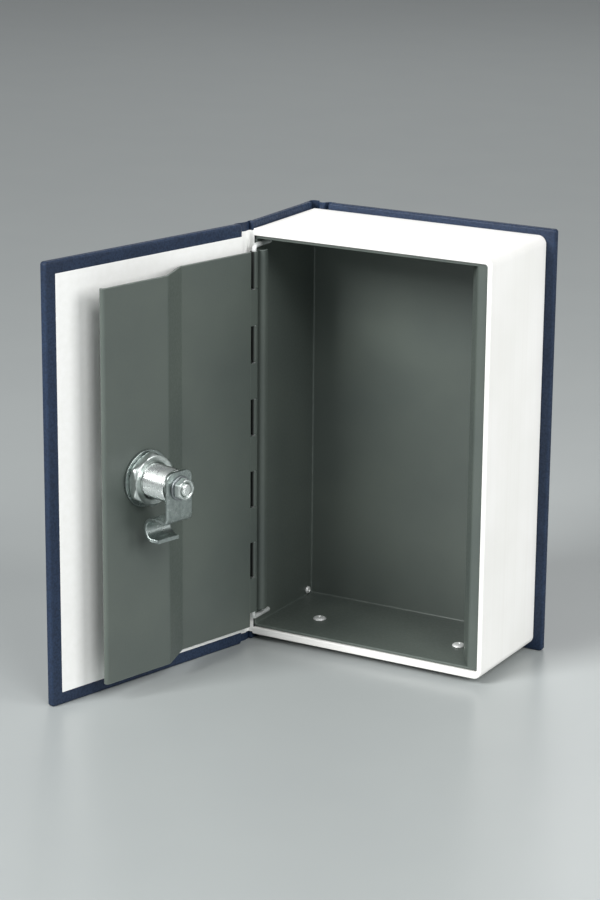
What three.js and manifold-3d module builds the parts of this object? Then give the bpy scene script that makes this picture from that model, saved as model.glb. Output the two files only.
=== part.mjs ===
// Book diversion safe: a small steel box dressed as a hardback book, standing with its cover open.
// Millimetres, +Z up. The pieces are drawn with the cover shut: X runs from the spine to the fore-edge,
// Y from the front cover to the back cover and Z up from the foot of the white page block.
import * as THREE from 'three';
import { mergeVertices } from 'three/addons/utils/BufferGeometryUtils.js';
import Module from 'manifold-3d';

const wasm = await Module();
wasm.setup();

// Page block: the white shell that stands for the edges of the pages
const pageWidth = 108;
const pageDepth = 50;
const pageHeight = 175;
const pageEndWall = 3;
const pageForeWall = 2;
const pageCornerRadius = 3.5;

// Steel box
const steelThickness = 1.1;
const boxClearance = 0.2;
const boxSetback = 1.1;
const hingeFlangeWidth = 4.6;
const hingeFlangeReturn = 3;
const foreFlangeWidth = 4.2;
const catchLipDepth = 13.8;
const catchLipLean = 8.3;

// Book case
const boardThickness = 2.4;
const spineBoardThickness = 2;
const clothThickness = 0.3;
const paperThickness = 0.3;
const glueGap = 0.1;
const coverReveal = 2.4;
const endOverhang = 2.7;
const foreOverhang = 3.8;
const turnInWidth = 5.1;
const jointWidth = 7;
const jointTuck = 1.2;
const jointClearance = 0.45;
const grooveStartShare = 0.3;
const grooveEndShare = 0.62;
const grooveRiseShare = 0.86;
const spineGap = 0.3;
const spineFrontSetback = 0.6;
const openAngleDegrees = 104.7;

// Hinge
const hingeInset = 1.4;
const hingeForward = 1.5;
const pinRadius = 1;
const pinClearance = 0.1;
const knuckleWall = 0.5;
const knuckleCount = 10;
const knuckleGap = 0.3;
const knuckleFootStandoff = 2.9;
const knuckleHeadStandoff = 2.1;
const pinLegLength = 12.5;
const pinBendRadius = 2;
const pinFootInset = 4.8;
const pinHeadInset = 3.6;
const pinLegRelief = 0.4;

// Door
const doorThickness = 1;
const doorFootGap = 0.7;
const doorHeadGap = 4.3;
const doorRunningGap = 0.5;
const doorEdgeInset = 12.6;
const doorEdgeReturn = 1.5;
const doorLeafGap = 1.9;
const doorStepDepth = 8.6;
const doorStepRun = 14.9;
const doorPlateauWidth = 34.2;
const sheetBendRadius = 1.4;
const foamWidthShare = 0.356;
const foamEndInset = 10.7;
const foamInset = 4.5;

// Lock
const lockEdgeInset = 21.6;
const lockHeightShare = 0.496;
const barrelRadius = 7;
const barrelHoleGap = 0.3;
const barrelReach = 17.1;
const bezelRim = 3;
const bezelThickness = 1.9;
const bezelCrownDepth = 0.6;
const barrelWall = 2;
const plugClearance = 0.2;
const plugHeadInset = 0.9;
const plugHeadThickness = 1.2;
const keywayWidth = 2;
const keywayLand = 1.7;
const lockNutWall = 2.7;
const lockNutThickness = 4.2;
const lockWasherRim = 4.3;
const lockWasherThickness = 1;
const stopTabInset = 0.2;
const stopWasherThickness = 0.8;
const stopRimHeight = 0.9;
const stopRimWall = 1.3;
const stopSlackDegrees = 3;
const squareDriveShare = 0.9;
const driveClearance = 0.15;
const studStep = 0.68;
const camSideLand = 3.47;
const camThickness = 1.5;
const camTopLand = 3.5;
const camDropGap = 2.35;
const camHookRadius = 4.4;
const camHookStandoff = 5.6;
const camLipLength = 2.2;
const camBendRadius = 2;
const camWasherRim = 2.5;
const camWasherThickness = 0.8;
const camNutWall = 1.5;
const camNutThickness = 2.8;
const camNutChamfer = 1;
const studProud = 0.4;
const partGap = 0.15;
const turnClearance = 0.3;

// Wafer tumblers
const waferCount = 4;
const waferPitch = 3;
const waferThickness = 0.6;
const waferSlotGap = 0.15;
const waferWidthShare = 0.545;
const waferThrow = 0.7;
const waferDepthFromFace = 5;
const waferWindowWidth = 2.8;
const waferWindowShare = 1.08;
const waferWindowShiftShares = [0.2, -0.4, 0.5, -0.1];
const waferTabWidth = 1.3;
const waferTabHeight = 1;
const waferTabTop = 1.4;
const springPocketWidth = 1.9;
const springPocketDepth = 1.5;
const springPocketShare = 0.44;
const springRadius = 0.45;
const springWireRadius = 0.12;
const springTurns = 4;
const waferPocketDepth = 0.8;
const waferPocketSlackDegrees = 4;

// Rivets
const floorRivetHeadRadius = 2.8;
const spineRivetHeadRadius = 1.7;
const rivetHeadHeight = 1.1;
const rivetShankRadius = 1.2;
const rivetHoleGap = 0.2;
const rivetTipInset = 0.6;
const floorRivetShares = [
  ['floor_rivet_left', 0.199, 0.408],
  ['floor_rivet_right', 0.807, 0.43],
];
const spineRivetBackGap = 3.4;
const spineRivetFloorGap = 2;

// One overrun serves every cut, and the facet counts are shared by all round shapes
const overrun = 2;
const roundFacets = 32;
const smallFacets = 16;
const wireSides = 10;
const springStepsPerTurn = 8;
const springSides = 5;
const hexSides = 6;
const bendSteps = 5;
const jointSteps = 12;
const sharpestLean = 0.5;

// Places that follow from the sizes
const axisX = hingeInset;
const axisY = -hingeForward;
const knuckleRadius = pinRadius + pinClearance + knuckleWall;
const boxRight = pageWidth - pageForeWall - boxClearance;
const boxFoot = pageEndWall + boxClearance;
const boxHead = pageHeight - pageEndWall - boxClearance;
const boxBack = pageDepth;
const boxFloor = boxFoot + steelThickness;
const floorRivetPlaces = floorRivetShares.map(
  ([name, across, deep]) => [name, across * pageWidth, deep * pageDepth]);
const spineRivetDepth = boxBack - steelThickness - spineRivetBackGap;
const spineRivetHeight = boxFloor + spineRivetFloorGap;
const pinFootHeight = boxFoot + pinFootInset;
const pinHeadHeight = boxHead - pinHeadInset;
const knuckleFoot = pinFootHeight + knuckleFootStandoff;
const knuckleHead = pinHeadHeight - knuckleHeadStandoff;
const knuckleLength = (knuckleHead - knuckleFoot) / knuckleCount;
const coverEdge = pageWidth + foreOverhang;
const coverFoot = -endOverhang;
const coverHead = pageHeight + endOverhang;
const clothWrap = clothThickness + glueGap;
const doorFace = boxSetback - doorRunningGap;
const plateauFace = doorFace + doorStepDepth;
const doorFoot = boxFloor + doorFootGap;
const doorHead = boxHead - steelThickness - doorHeadGap;
const doorFreeEdge = boxRight - doorEdgeInset;
const doorPlateauStart = doorFreeEdge - doorPlateauWidth;
const doorLowEnd = doorPlateauStart - doorStepRun;
const lockX = doorFreeEdge - lockEdgeInset;
const lockHeight = lockHeightShare * pageHeight;
const frontOutside = -(coverReveal + clothWrap + boardThickness + clothWrap);
const foamWidth = foamWidthShare * (doorLowEnd - jointWidth - 2 * foamInset);
const barrelEnd = plateauFace + barrelReach;
const barrelHole = barrelRadius + barrelHoleGap;
const bezelRadius = barrelRadius + bezelRim;
const plugRadius = barrelRadius - barrelWall;
const plugHeadRadius = barrelRadius - plugHeadInset;
const keywayHeight = 2 * (plugRadius - keywayLand);
const waferHalfWidth = waferWidthShare * plugRadius;
const waferWindowHeight = waferWindowShare * plugRadius;
const springPocketTop = springPocketShare * plugRadius;
const squareDrive = squareDriveShare * plugRadius * Math.sqrt(2);
const studRadius = squareDrive / 2 - studStep;
const stopWasherRadius = barrelRadius - stopRimWall - turnClearance;
const stopTabReach = barrelRadius - stopTabInset;
const lockNutAcross = 2 * (barrelHole + lockNutWall);
const lockWasherRadius = barrelHole + lockWasherRim;
const camWidth = squareDrive + 2 * camSideLand;
const camRise = squareDrive / 2 + camTopLand;
const camDrop = lockNutAcross / Math.sqrt(3) + camDropGap;
const camWasherRadius = studRadius + camWasherRim;
const camNutAcross = 2 * (studRadius + camNutWall);
const stopWasherStart = barrelEnd + partGap;
const camStart = stopWasherStart + stopWasherThickness + partGap;
const camWasherStart = camStart + camThickness + partGap;
const camNutStart = camWasherStart + camWasherThickness + partGap;
const studEnd = camNutStart + camNutThickness + studProud;
const boardZ = [coverFoot + clothWrap, coverHead - clothWrap];
const frontBoardX = [jointWidth, coverEdge - clothWrap];
const frontBoardY = [frontOutside + clothWrap, -(coverReveal + clothWrap)];
const backFace = pageDepth + glueGap;
const backBoardY = [backFace + clothWrap, backFace + clothWrap + boardThickness];
const backOutside = backBoardY[1] + clothWrap;
const spineBoardX = [-(spineGap + spineBoardThickness), -spineGap];
const spineBoardY = [spineFrontSetback, pageDepth - spineFrontSetback];
const windowX = [jointWidth - overrun, coverEdge - turnInWidth];
const windowZ = [coverFoot + turnInWidth, coverHead - turnInWidth];
const openAngle = THREE.MathUtils.degToRad(openAngleDegrees);

// Finishes
function finish(color, roughness, metalness) {
  return new THREE.MeshStandardMaterial({ color, roughness, metalness });
}
const greyPaint = finish(0x5d665f, 0.5, 0.2);
const pagePlastic = finish(0xf5f4f0, 0.55, 0);
const boardCard = finish(0x9b8f78, 0.9, 0);
const navyCloth = finish(0x26345a, 0.6, 0);
const whitePaper = finish(0xf7f7f4, 0.8, 0);
const whiteFoam = finish(0xe4e2da, 0.9, 0);
const brightPlate = finish(0xc9cfcb, 0.2, 1);
const zincPlate = finish(0xaeb5b0, 0.3, 1);
const brass = finish(0xc2a35a, 0.35, 1);
const springSteel = finish(0x9a9ea0, 0.35, 1);

// A closed three.js geometry becomes a solid that can be joined and cut. A profile that was turned or
// swept the other way round comes out inside-out, and its triangles are then reversed.
function solid(geometry) {
  const plain = geometry.clone();
  plain.deleteAttribute('normal');
  plain.deleteAttribute('uv');
  const merged = mergeVertices(plain);
  const vertProperties = Float32Array.from(merged.attributes.position.array);
  const triVerts = Uint32Array.from(merged.index.array);
  const body = new wasm.Manifold(new wasm.Mesh({ numProp: 3, vertProperties, triVerts }));
  if (body.volume() > 0) return body;
  return new wasm.Manifold(new wasm.Mesh({ numProp: 3, vertProperties, triVerts: triVerts.reverse() }));
}

// A solid becomes a geometry again
function surface(body) {
  const mesh = body.getMesh();
  const geometry = new THREE.BufferGeometry();
  geometry.setAttribute('position', new THREE.BufferAttribute(Float32Array.from(mesh.vertProperties), 3));
  geometry.setIndex(new THREE.BufferAttribute(Uint32Array.from(mesh.triVerts), 1));
  geometry.computeVertexNormals();
  return geometry;
}

function named(name, body, material) {
  const mesh = new THREE.Mesh(surface(body), material);
  mesh.name = name;
  return mesh;
}

// An outline of [a, b] points
function outline(points, holes = []) {
  const shape = new THREE.Shape(points.map(([a, b]) => new THREE.Vector2(a, b)));
  shape.holes = holes.map((hole) => new THREE.Path(hole.map(([a, b]) => new THREE.Vector2(a, b))));
  return shape;
}

// Outlines in X and Y raised along Z, in X and Z along Y, and in Y and Z along X
function prismZ(shape, from, to) {
  const geometry = new THREE.ExtrudeGeometry(shape, { depth: to - from, bevelEnabled: false });
  return solid(geometry.translate(0, 0, from));
}

function prismY(shape, from, to) {
  const geometry = new THREE.ExtrudeGeometry(shape, { depth: to - from, bevelEnabled: false });
  return solid(geometry.rotateX(Math.PI / 2).translate(0, to, 0));
}

function prismX(shape, from, to) {
  const geometry = new THREE.ExtrudeGeometry(shape, { depth: to - from, bevelEnabled: false });
  const turn = new THREE.Matrix4().makeBasis(
    new THREE.Vector3(0, 1, 0), new THREE.Vector3(0, 0, 1), new THREE.Vector3(1, 0, 0));
  return solid(geometry.applyMatrix4(turn).translate(from, 0, 0));
}

function block([x0, x1], [y0, y1], [z0, z1]) {
  const geometry = new THREE.BoxGeometry(x1 - x0, y1 - y0, z1 - z0);
  return solid(geometry.translate((x0 + x1) / 2, (y0 + y1) / 2, (z0 + z1) / 2));
}

function circle(radius, count, centreA = 0, centreB = 0, firstAngle = 0) {
  return Array.from({ length: count }, (_, i) => {
    const angle = firstAngle + (i / count) * 2 * Math.PI;
    return [centreA + radius * Math.cos(angle), centreB + radius * Math.sin(angle)];
  });
}

// Corners of an open path become arcs of the given radius
function softened(points, radius) {
  const path = [points[0]];
  for (let i = 1; i < points.length - 1; i += 1) {
    const corner = new THREE.Vector2(...points[i]);
    const back = new THREE.Vector2(...points[i - 1]).sub(corner);
    const ahead = new THREE.Vector2(...points[i + 1]).sub(corner);
    const half = Math.abs(back.angleTo(ahead)) / 2;
    const reach = Math.min(radius / Math.tan(half), back.length() / 2, ahead.length() / 2);
    const bend = new THREE.QuadraticBezierCurve(
      corner.clone().add(back.setLength(reach)), corner, corner.clone().add(ahead.setLength(reach)));
    bend.getPoints(bendSteps).forEach((p) => path.push([p.x, p.y]));
  }
  path.push(points[points.length - 1]);
  return path;
}

// The outline of a strip of even thickness whose middle follows an open path
function strip(path, thickness) {
  const points = path.map(([a, b]) => new THREE.Vector2(a, b));
  const left = [];
  const right = [];
  points.forEach((point, i) => {
    const before = points[Math.max(i - 1, 0)];
    const after = points[Math.min(i + 1, points.length - 1)];
    const inward = point.clone().sub(i ? before : point).normalize();
    const outward = after.clone().sub(point).normalize();
    const along = inward.clone().add(outward).normalize();
    const lean = Math.max(along.dot(i ? inward : outward), sharpestLean);
    const side = new THREE.Vector2(-along.y, along.x).multiplyScalar(thickness / 2 / lean);
    left.push([point.x + side.x, point.y + side.y]);
    right.unshift([point.x - side.x, point.y - side.y]);
  });
  return outline([...left, ...right]);
}

// A round wire whose rings stand at the given points
class WireRoute extends THREE.Curve {
  constructor(points) {
    super();
    this.points = points;
  }

  getUtoTmapping(u) {
    return u;
  }

  getPoint(t, target = new THREE.Vector3()) {
    const place = t * (this.points.length - 1);
    const i = Math.min(Math.floor(place), this.points.length - 2);
    return target.lerpVectors(this.points[i], this.points[i + 1], place - i);
  }

  getTangent(t, target = new THREE.Vector3()) {
    const last = this.points.length - 1;
    const i = Math.round(t * last);
    const before = this.points[Math.max(i - 1, 0)];
    const after = this.points[Math.min(i + 1, last)];
    return target.subVectors(after, before).normalize();
  }
}

function wire(points, radius, sides) {
  const section = outline(circle(radius, sides));
  const route = new WireRoute(points);
  return solid(new THREE.ExtrudeGeometry(section, { steps: points.length - 1, extrudePath: route }));
}

// A turned shape on the lock's axis: [radius, y] points, starting and ending on the axis
function turned(points, count = roundFacets) {
  const profile = points.map(([radius, y]) => new THREE.Vector2(radius, y));
  return solid(new THREE.LatheGeometry(profile, count)).translate(lockX, 0, lockHeight);
}

// A round bar along the lock's axis, and a hexagonal one with a corner at its top
function lockRod(radius, from, to, count = roundFacets) {
  return prismY(outline(circle(radius, count, lockX, lockHeight)), from, to);
}

function hexBar(across, from, to) {
  return prismY(outline(circle(across / Math.sqrt(3), hexSides, lockX, lockHeight, Math.PI / 2)), from, to);
}

function squareBar(side, from, to) {
  const half = side / 2;
  return block([lockX - half, lockX + half], [from, to], [lockHeight - half, lockHeight + half]);
}

// The bent part of a ring on the lock's axis, between two angles measured from +X towards +Z
function ringSector(inner, outer, fromAngle, toAngle, from, to) {
  const count = Math.ceil((Math.abs(toAngle - fromAngle) / (2 * Math.PI)) * roundFacets);
  const arc = (radius) => Array.from({ length: count + 1 }, (_, i) => {
    const angle = fromAngle + ((toAngle - fromAngle) * i) / count;
    return [lockX + radius * Math.cos(angle), lockHeight + radius * Math.sin(angle)];
  });
  return prismY(outline([...arc(outer), ...arc(inner).reverse()]), from, to);
}

// Knuckles alternate up the hinge: the door has the even ones and the box the odd ones
function knuckleSpans(parity) {
  return Array.from({ length: knuckleCount }, (_, i) => i)
    .filter((i) => i % 2 === parity)
    .map((i) => [knuckleFoot + i * knuckleLength + knuckleGap / 2,
      knuckleFoot + (i + 1) * knuckleLength - knuckleGap / 2]);
}

function barrelAlongHinge(radius, from, to, count = smallFacets) {
  return prismZ(outline(circle(radius, count, axisX, axisY)), from, to);
}

// White shell: top, fore-edge and foot of the page block, open towards the spine
function makePageShell() {
  const r = pageCornerRadius;
  const corner = (centreX, centreZ, start) => Array.from({ length: bendSteps + 1 }, (_, i) => {
    const angle = start + (i / bendSteps) * (Math.PI / 2);
    return [centreX + r * Math.cos(angle), centreZ + r * Math.sin(angle)];
  });
  const inner = pageWidth - pageForeWall;
  const points = [[0, 0], ...corner(pageWidth - r, r, -Math.PI / 2),
    ...corner(pageWidth - r, pageHeight - r, 0), [0, pageHeight], [0, pageHeight - pageEndWall],
    [inner, pageHeight - pageEndWall], [inner, pageEndWall], [0, pageEndWall]];
  let shell = prismY(outline(points), 0, pageDepth);
  floorRivetPlaces.forEach(([, x, y]) => {
    const hole = prismZ(outline(circle(rivetShankRadius + rivetHoleGap, smallFacets, x, y)),
      -overrun, pageEndWall + overrun);
    shell = shell.subtract(hole);
  });
  return named('page_shell', shell, pagePlastic);
}

// Steel box: five walls, two front flanges, the catch lip and its half of the hinge
function makeSteelBox() {
  const t = steelThickness;
  const outer = block([0, boxRight], [boxSetback, boxBack], [boxFoot, boxHead]);
  const inner = block([t, boxRight - t], [boxSetback - overrun, boxBack - t], [boxFoot + t, boxHead - t]);
  const middle = boxSetback + t / 2;
  const hemX = hingeFlangeWidth - t / 2;
  const hem = softened([[t / 2, middle], [hemX, middle], [hemX, middle + hingeFlangeReturn]], sheetBendRadius);
  const hingeFlange = prismZ(strip(hem, t), knuckleFoot, knuckleHead);
  const flangeEdge = boxRight - foreFlangeWidth;
  const lip = softened([[boxRight - t / 2, middle], [flangeEdge, middle],
    [flangeEdge - catchLipLean, boxSetback + catchLipDepth]], sheetBendRadius);
  const foreFlange = prismZ(strip(lip, t), boxFoot, boxHead);
  let box = outer.subtract(inner).add(hingeFlange).add(foreFlange);
  knuckleSpans(1).forEach(([from, to]) => {
    const strap = block([0, t], [axisY, boxSetback + t], [from, to]);
    box = box.add(strap).add(barrelAlongHinge(knuckleRadius, from, to));
  });
  box = box.subtract(barrelAlongHinge(pinRadius + pinClearance, boxFoot, boxHead));
  [pinFootHeight, pinHeadHeight].forEach((z) => {
    const half = pinRadius + pinLegRelief;
    box = box.subtract(block([-overrun, axisX + half], [boxSetback - overrun, axisY + pinLegLength + half],
      [z - half, z + half]));
  });
  floorRivetPlaces.forEach(([, x, y]) => {
    box = box.subtract(prismZ(outline(circle(rivetShankRadius + rivetHoleGap, smallFacets, x, y)),
      boxFoot - overrun, boxFoot + t + overrun));
  });
  const spineHole = circle(rivetShankRadius + rivetHoleGap, smallFacets, spineRivetDepth, spineRivetHeight);
  box = box.subtract(prismX(outline(spineHole), -overrun, t + overrun));
  return named('steel_box', box, greyPaint);
}

// Hinge pin: a wire with both ends bent over into the box
function makeHingePin() {
  const legEnd = axisY + pinLegLength;
  const bend = (z, side) => Array.from({ length: bendSteps + 1 }, (_, i) => {
    const angle = (i / bendSteps) * (Math.PI / 2);
    return new THREE.Vector3(axisX, axisY + pinBendRadius * (1 - Math.sin(angle)),
      z + side * pinBendRadius * (1 - Math.cos(angle)));
  });
  const foot = bend(pinFootHeight, 1);
  const head = bend(pinHeadHeight, -1).reverse();
  const route = [new THREE.Vector3(axisX, legEnd, pinFootHeight), ...foot, ...head,
    new THREE.Vector3(axisX, legEnd, pinHeadHeight)];
  return named('hinge_pin', wire(route, pinRadius, wireSides), brightPlate);
}

// Cloth glued round a board: it covers the named sides and is open on the others
function clothRound(x, y, z, covered) {
  const sides = { x, y, z };
  const grown = (amount, beyond) => ['x', 'y', 'z'].map((axis) => [
    sides[axis][0] - (covered.includes(`${axis}-`) ? amount : beyond),
    sides[axis][1] + (covered.includes(`${axis}+`) ? amount : beyond),
  ]);
  return block(...grown(clothWrap, 0)).subtract(block(...grown(glueGap, overrun)));
}

function makeFrontBoard() {
  const board = block(frontBoardX, frontBoardY, boardZ);
  return named('front_board', board.subtract(lockRod(barrelHole, frontOutside, 0)), boardCard);
}

function makeFrontCloth() {
  const innerFace = -coverReveal;
  const cloth = clothRound(frontBoardX, frontBoardY, boardZ, ['x+', 'y-', 'y+', 'z-', 'z+']);
  const window = block(windowX, [frontBoardY[1], innerFace + overrun], windowZ);
  const body = cloth.subtract(window).subtract(lockRod(barrelHole, frontOutside - overrun, 0));
  return named('front_cloth', body, navyCloth);
}

function paperSheet(name, faceY, backY, hole) {
  const sheet = block([jointWidth, windowX[1] - glueGap], [faceY, backY],
    [windowZ[0] + glueGap, windowZ[1] - glueGap]);
  return named(name, hole ? sheet.subtract(lockRod(barrelHole, frontOutside, 0)) : sheet, whitePaper);
}

function makeSpineRivetHole() {
  const hole = circle(rivetShankRadius + rivetHoleGap, smallFacets, spineRivetDepth, spineRivetHeight);
  return prismX(outline(hole), spineBoardX[0] - glueGap / 2, 0);
}

// Back cloth: one sheet over the spine board, the back joint and the back board
function makeBackCloth() {
  const spine = clothRound(spineBoardX, spineBoardY, boardZ, ['x-', 'z-', 'z+']);
  const back = clothRound(frontBoardX, backBoardY, boardZ, ['x+', 'y-', 'y+', 'z-', 'z+']);
  const window = block(windowX, [backFace - overrun, backBoardY[0]], windowZ);
  const spineMiddle = spineBoardX[0] - glueGap - clothThickness / 2;
  const backMiddle = backOutside - clothThickness / 2;
  const grooveMiddle = backFace + clothThickness;
  const groove = softened([[spineMiddle, spineBoardY[1] - spineFrontSetback], [spineMiddle, backMiddle],
    [0, backMiddle], [jointWidth * grooveStartShare, grooveMiddle],
    [jointWidth * grooveEndShare, grooveMiddle], [jointWidth * grooveRiseShare, backMiddle],
    [jointWidth + spineGap, backMiddle]], sheetBendRadius);
  const joint = prismZ(strip(groove, clothThickness), coverFoot, coverHead);
  return named('back_cloth', spine.add(back.subtract(window)).add(joint), navyCloth);
}

// Front joint, drawn as it hangs with the cover open: tucked in towards the pin between spine and cover
function jointRoute(offset) {
  const axis = new THREE.Vector2(axisX, axisY);
  const start = new THREE.Vector2(spineBoardX[0] - glueGap - clothThickness / 2 + offset,
    spineBoardY[0] - jointClearance);
  const end = new THREE.Vector2(jointWidth - jointClearance, frontOutside + clothThickness / 2 + offset)
    .rotateAround(axis, -openAngle);
  const middle = start.clone().add(end).divideScalar(2);
  const tucked = middle.clone().add(axis.clone().sub(middle).setLength(jointTuck));
  return new THREE.QuadraticBezierCurve(start, tucked, end).getPoints(jointSteps).map((p) => p.toArray());
}

function makeJointSheet(name, offset, thickness, inset, material) {
  const sheet = prismZ(strip(jointRoute(offset), thickness), coverFoot + inset, coverHead - inset);
  return named(name, sheet, material);
}

// Door: low leaf, slanted step and plateau with a returned edge, its half of the hinge and the lock's hole
function makeDoor() {
  const low = doorFace - doorThickness / 2;
  const high = plateauFace - doorThickness / 2;
  const leafStart = axisX + knuckleRadius + doorLeafGap;
  const edge = doorFreeEdge - doorThickness / 2;
  const path = softened([[leafStart, low], [doorLowEnd, low], [doorPlateauStart, high], [edge, high],
    [edge, high - doorEdgeReturn]], sheetBendRadius);
  let door = prismZ(strip(path, doorThickness), doorFoot, doorHead);
  knuckleSpans(0).forEach(([from, to]) => {
    const strap = block([axisX, leafStart + doorThickness],
      [low - doorThickness / 2, low + doorThickness / 2], [from, to]);
    door = door.add(strap).add(barrelAlongHinge(knuckleRadius, from, to));
  });
  door = door.subtract(barrelAlongHinge(pinRadius + pinClearance, doorFoot, doorHead));
  door = door.subtract(lockRod(barrelHole, doorFace, plateauFace + overrun));
  return named('door', door, greyPaint);
}

function makeFoamStrip(name, x) {
  const foam = block([x, x + foamWidth], [-coverReveal + glueGap, doorFace - doorThickness - glueGap],
    [doorFoot + foamEndInset, doorHead - foamEndInset]);
  return named(name, foam, whiteFoam);
}

// Lock housing: bezel outside the cover, barrel through cover and door, stop rim at its end
function makeLockHousing() {
  const bezelBack = frontOutside - glueGap;
  const bezelFace = bezelBack - bezelThickness;
  const bore = plugRadius + plugClearance;
  const headBore = plugHeadRadius + plugClearance;
  const profile = [[headBore, bezelFace], [bezelRadius - bezelCrownDepth, bezelFace],
    [bezelRadius, bezelFace + bezelCrownDepth], [bezelRadius, bezelBack], [barrelRadius, bezelBack],
    [barrelRadius, barrelEnd], [bore, barrelEnd], [bore, bezelFace + plugHeadThickness + partGap * 2],
    [headBore, bezelFace + plugHeadThickness + partGap * 2], [headBore, bezelFace]];
  const first = waferPlace(0) - waferThickness;
  const last = waferPlace(waferCount - 1) + waferThickness;
  const { degToRad } = THREE.MathUtils;
  const spread = Math.asin(waferHalfWidth / plugRadius) + degToRad(waferPocketSlackDegrees);
  const tabSpread = Math.asin(stopRimWall / 2 / stopWasherRadius) + degToRad(stopSlackDegrees);
  const pocket = ringSector(plugRadius, bore + waferPocketDepth, -Math.PI / 2 - spread, spread, first, last);
  const rim = ringSector(barrelRadius - stopRimWall + partGap, barrelRadius, tabSpread,
    Math.PI * 1.5 - tabSpread, barrelEnd - partGap, barrelEnd + stopRimHeight);
  return named('lock_housing', turned(profile).subtract(pocket).add(rim), brightPlate);
}

function waferPlace(i) {
  return frontOutside - glueGap - bezelThickness + waferDepthFromFace + i * waferPitch;
}

// Plug: head, round body with keyway and wafer slots, square drive and threaded stud
function makeLockPlug() {
  const face = frontOutside - glueGap - bezelThickness;
  let plug = lockRod(plugHeadRadius, face, face + plugHeadThickness)
    .add(lockRod(plugRadius, face, barrelEnd))
    .add(squareBar(squareDrive, face + plugHeadThickness, camWasherStart - partGap))
    .add(lockRod(studRadius, face + plugHeadThickness, studEnd, smallFacets));
  const slotEnd = waferPlace(waferCount - 1) + waferPitch / 2;
  plug = plug.subtract(block([lockX - keywayWidth / 2, lockX + keywayWidth / 2], [face - overrun, slotEnd],
    [lockHeight - keywayHeight / 2, lockHeight + keywayHeight / 2]));
  for (let i = 0; i < waferCount; i += 1) {
    const y = waferPlace(i);
    const halfSlot = waferThickness / 2 + waferSlotGap;
    const halfWidth = waferHalfWidth + waferSlotGap;
    const reach = plugRadius + overrun;
    plug = plug.subtract(block([lockX - halfWidth, lockX + halfWidth], [y - halfSlot, y + halfSlot],
      [lockHeight - reach, lockHeight + reach]));
    plug = plug.subtract(block([lockX + waferHalfWidth, lockX + waferHalfWidth + springPocketWidth],
      [y - springPocketDepth / 2, y + springPocketDepth / 2],
      [lockHeight - reach, lockHeight + springPocketTop]));
  }
  return named('lock_plug', plug, brightPlate);
}

// Wafer: a plate rounded to the plug at both ends, with a window for the key and a tab for its spring.
// Drawn pushed out of the plug by its throw, as it stands with no key in the lock.
function makeWafer(i) {
  const radius = plugRadius - partGap / 2;
  const tilt = Math.acos(waferHalfWidth / radius);
  const arc = (start, end) => Array.from({ length: bendSteps * 2 + 1 }, (_, k) => {
    const angle = start + ((end - start) * k) / (bendSteps * 2);
    return [radius * Math.cos(angle), radius * Math.sin(angle)];
  });
  const place = ([a, b]) => [lockX + a, lockHeight - waferThrow + b];
  const body = [...arc(tilt, Math.PI - tilt), ...arc(Math.PI + tilt, 2 * Math.PI - tilt)];
  const shift = waferWindowShiftShares[i] * waferThrow;
  const w = waferWindowWidth / 2;
  const h = waferWindowHeight / 2;
  const window = [[-w, shift - h], [w, shift - h], [w, shift + h], [-w, shift + h]];
  const y = waferPlace(i);
  const faces = [y - waferThickness / 2, y + waferThickness / 2];
  const plate = prismY(outline(body.map(place), [window.map(place)]), ...faces);
  const tabTop = lockHeight - waferThrow - waferTabTop;
  const tab = block([lockX + waferHalfWidth - waferTabWidth / 2, lockX + waferHalfWidth + waferTabWidth],
    faces, [tabTop - waferTabHeight, tabTop]);
  return named(`wafer_${i + 1}`, plate.add(tab), brass);
}

function makeWaferSpring(i) {
  const foot = lockHeight - waferThrow - waferTabTop + springWireRadius + partGap;
  const head = lockHeight + springPocketTop - springWireRadius - partGap;
  const steps = springTurns * springStepsPerTurn;
  const centreX = lockX + waferHalfWidth + springPocketWidth / 2;
  const route = Array.from({ length: steps + 1 }, (_, k) => {
    const angle = (k / springStepsPerTurn) * 2 * Math.PI;
    return new THREE.Vector3(centreX + springRadius * Math.cos(angle),
      waferPlace(i) + springRadius * Math.sin(angle), foot + ((head - foot) * k) / steps);
  });
  return named(`wafer_spring_${i + 1}`, wire(route, springWireRadius, springSides), springSteel);
}

function makeLockWasher() {
  const start = plateauFace + partGap;
  const washer = lockRod(lockWasherRadius, start, start + lockWasherThickness)
    .subtract(lockRod(barrelHole, start - overrun, start + overrun * 2));
  return named('lock_washer', washer, zincPlate);
}

function makeLockNut() {
  const start = plateauFace + partGap + lockWasherThickness + partGap;
  const end = start + lockNutThickness;
  const corner = lockNutAcross / Math.sqrt(3);
  const chamfer = corner - lockNutAcross / 2;
  const crown = turned([[0, start], [corner, start], [corner, end - chamfer], [lockNutAcross / 2, end],
    [0, end]]);
  const nut = hexBar(lockNutAcross, start, end).intersect(crown)
    .subtract(lockRod(barrelHole, start - overrun, end + overrun));
  return named('lock_nut', nut, zincPlate);
}

// Stop washer: a tab that runs in the gap of the housing's rim and ends the turn at a quarter
function makeStopWasher() {
  const end = stopWasherStart + stopWasherThickness;
  const washer = lockRod(stopWasherRadius, stopWasherStart, end)
    .add(block([lockX - stopRimWall / 2, lockX + stopRimWall / 2], [stopWasherStart, end],
      [lockHeight - stopTabReach, lockHeight]))
    .subtract(squareBar(squareDrive + driveClearance * 2, stopWasherStart - overrun, end + overrun));
  return named('stop_washer', washer, zincPlate);
}

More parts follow.
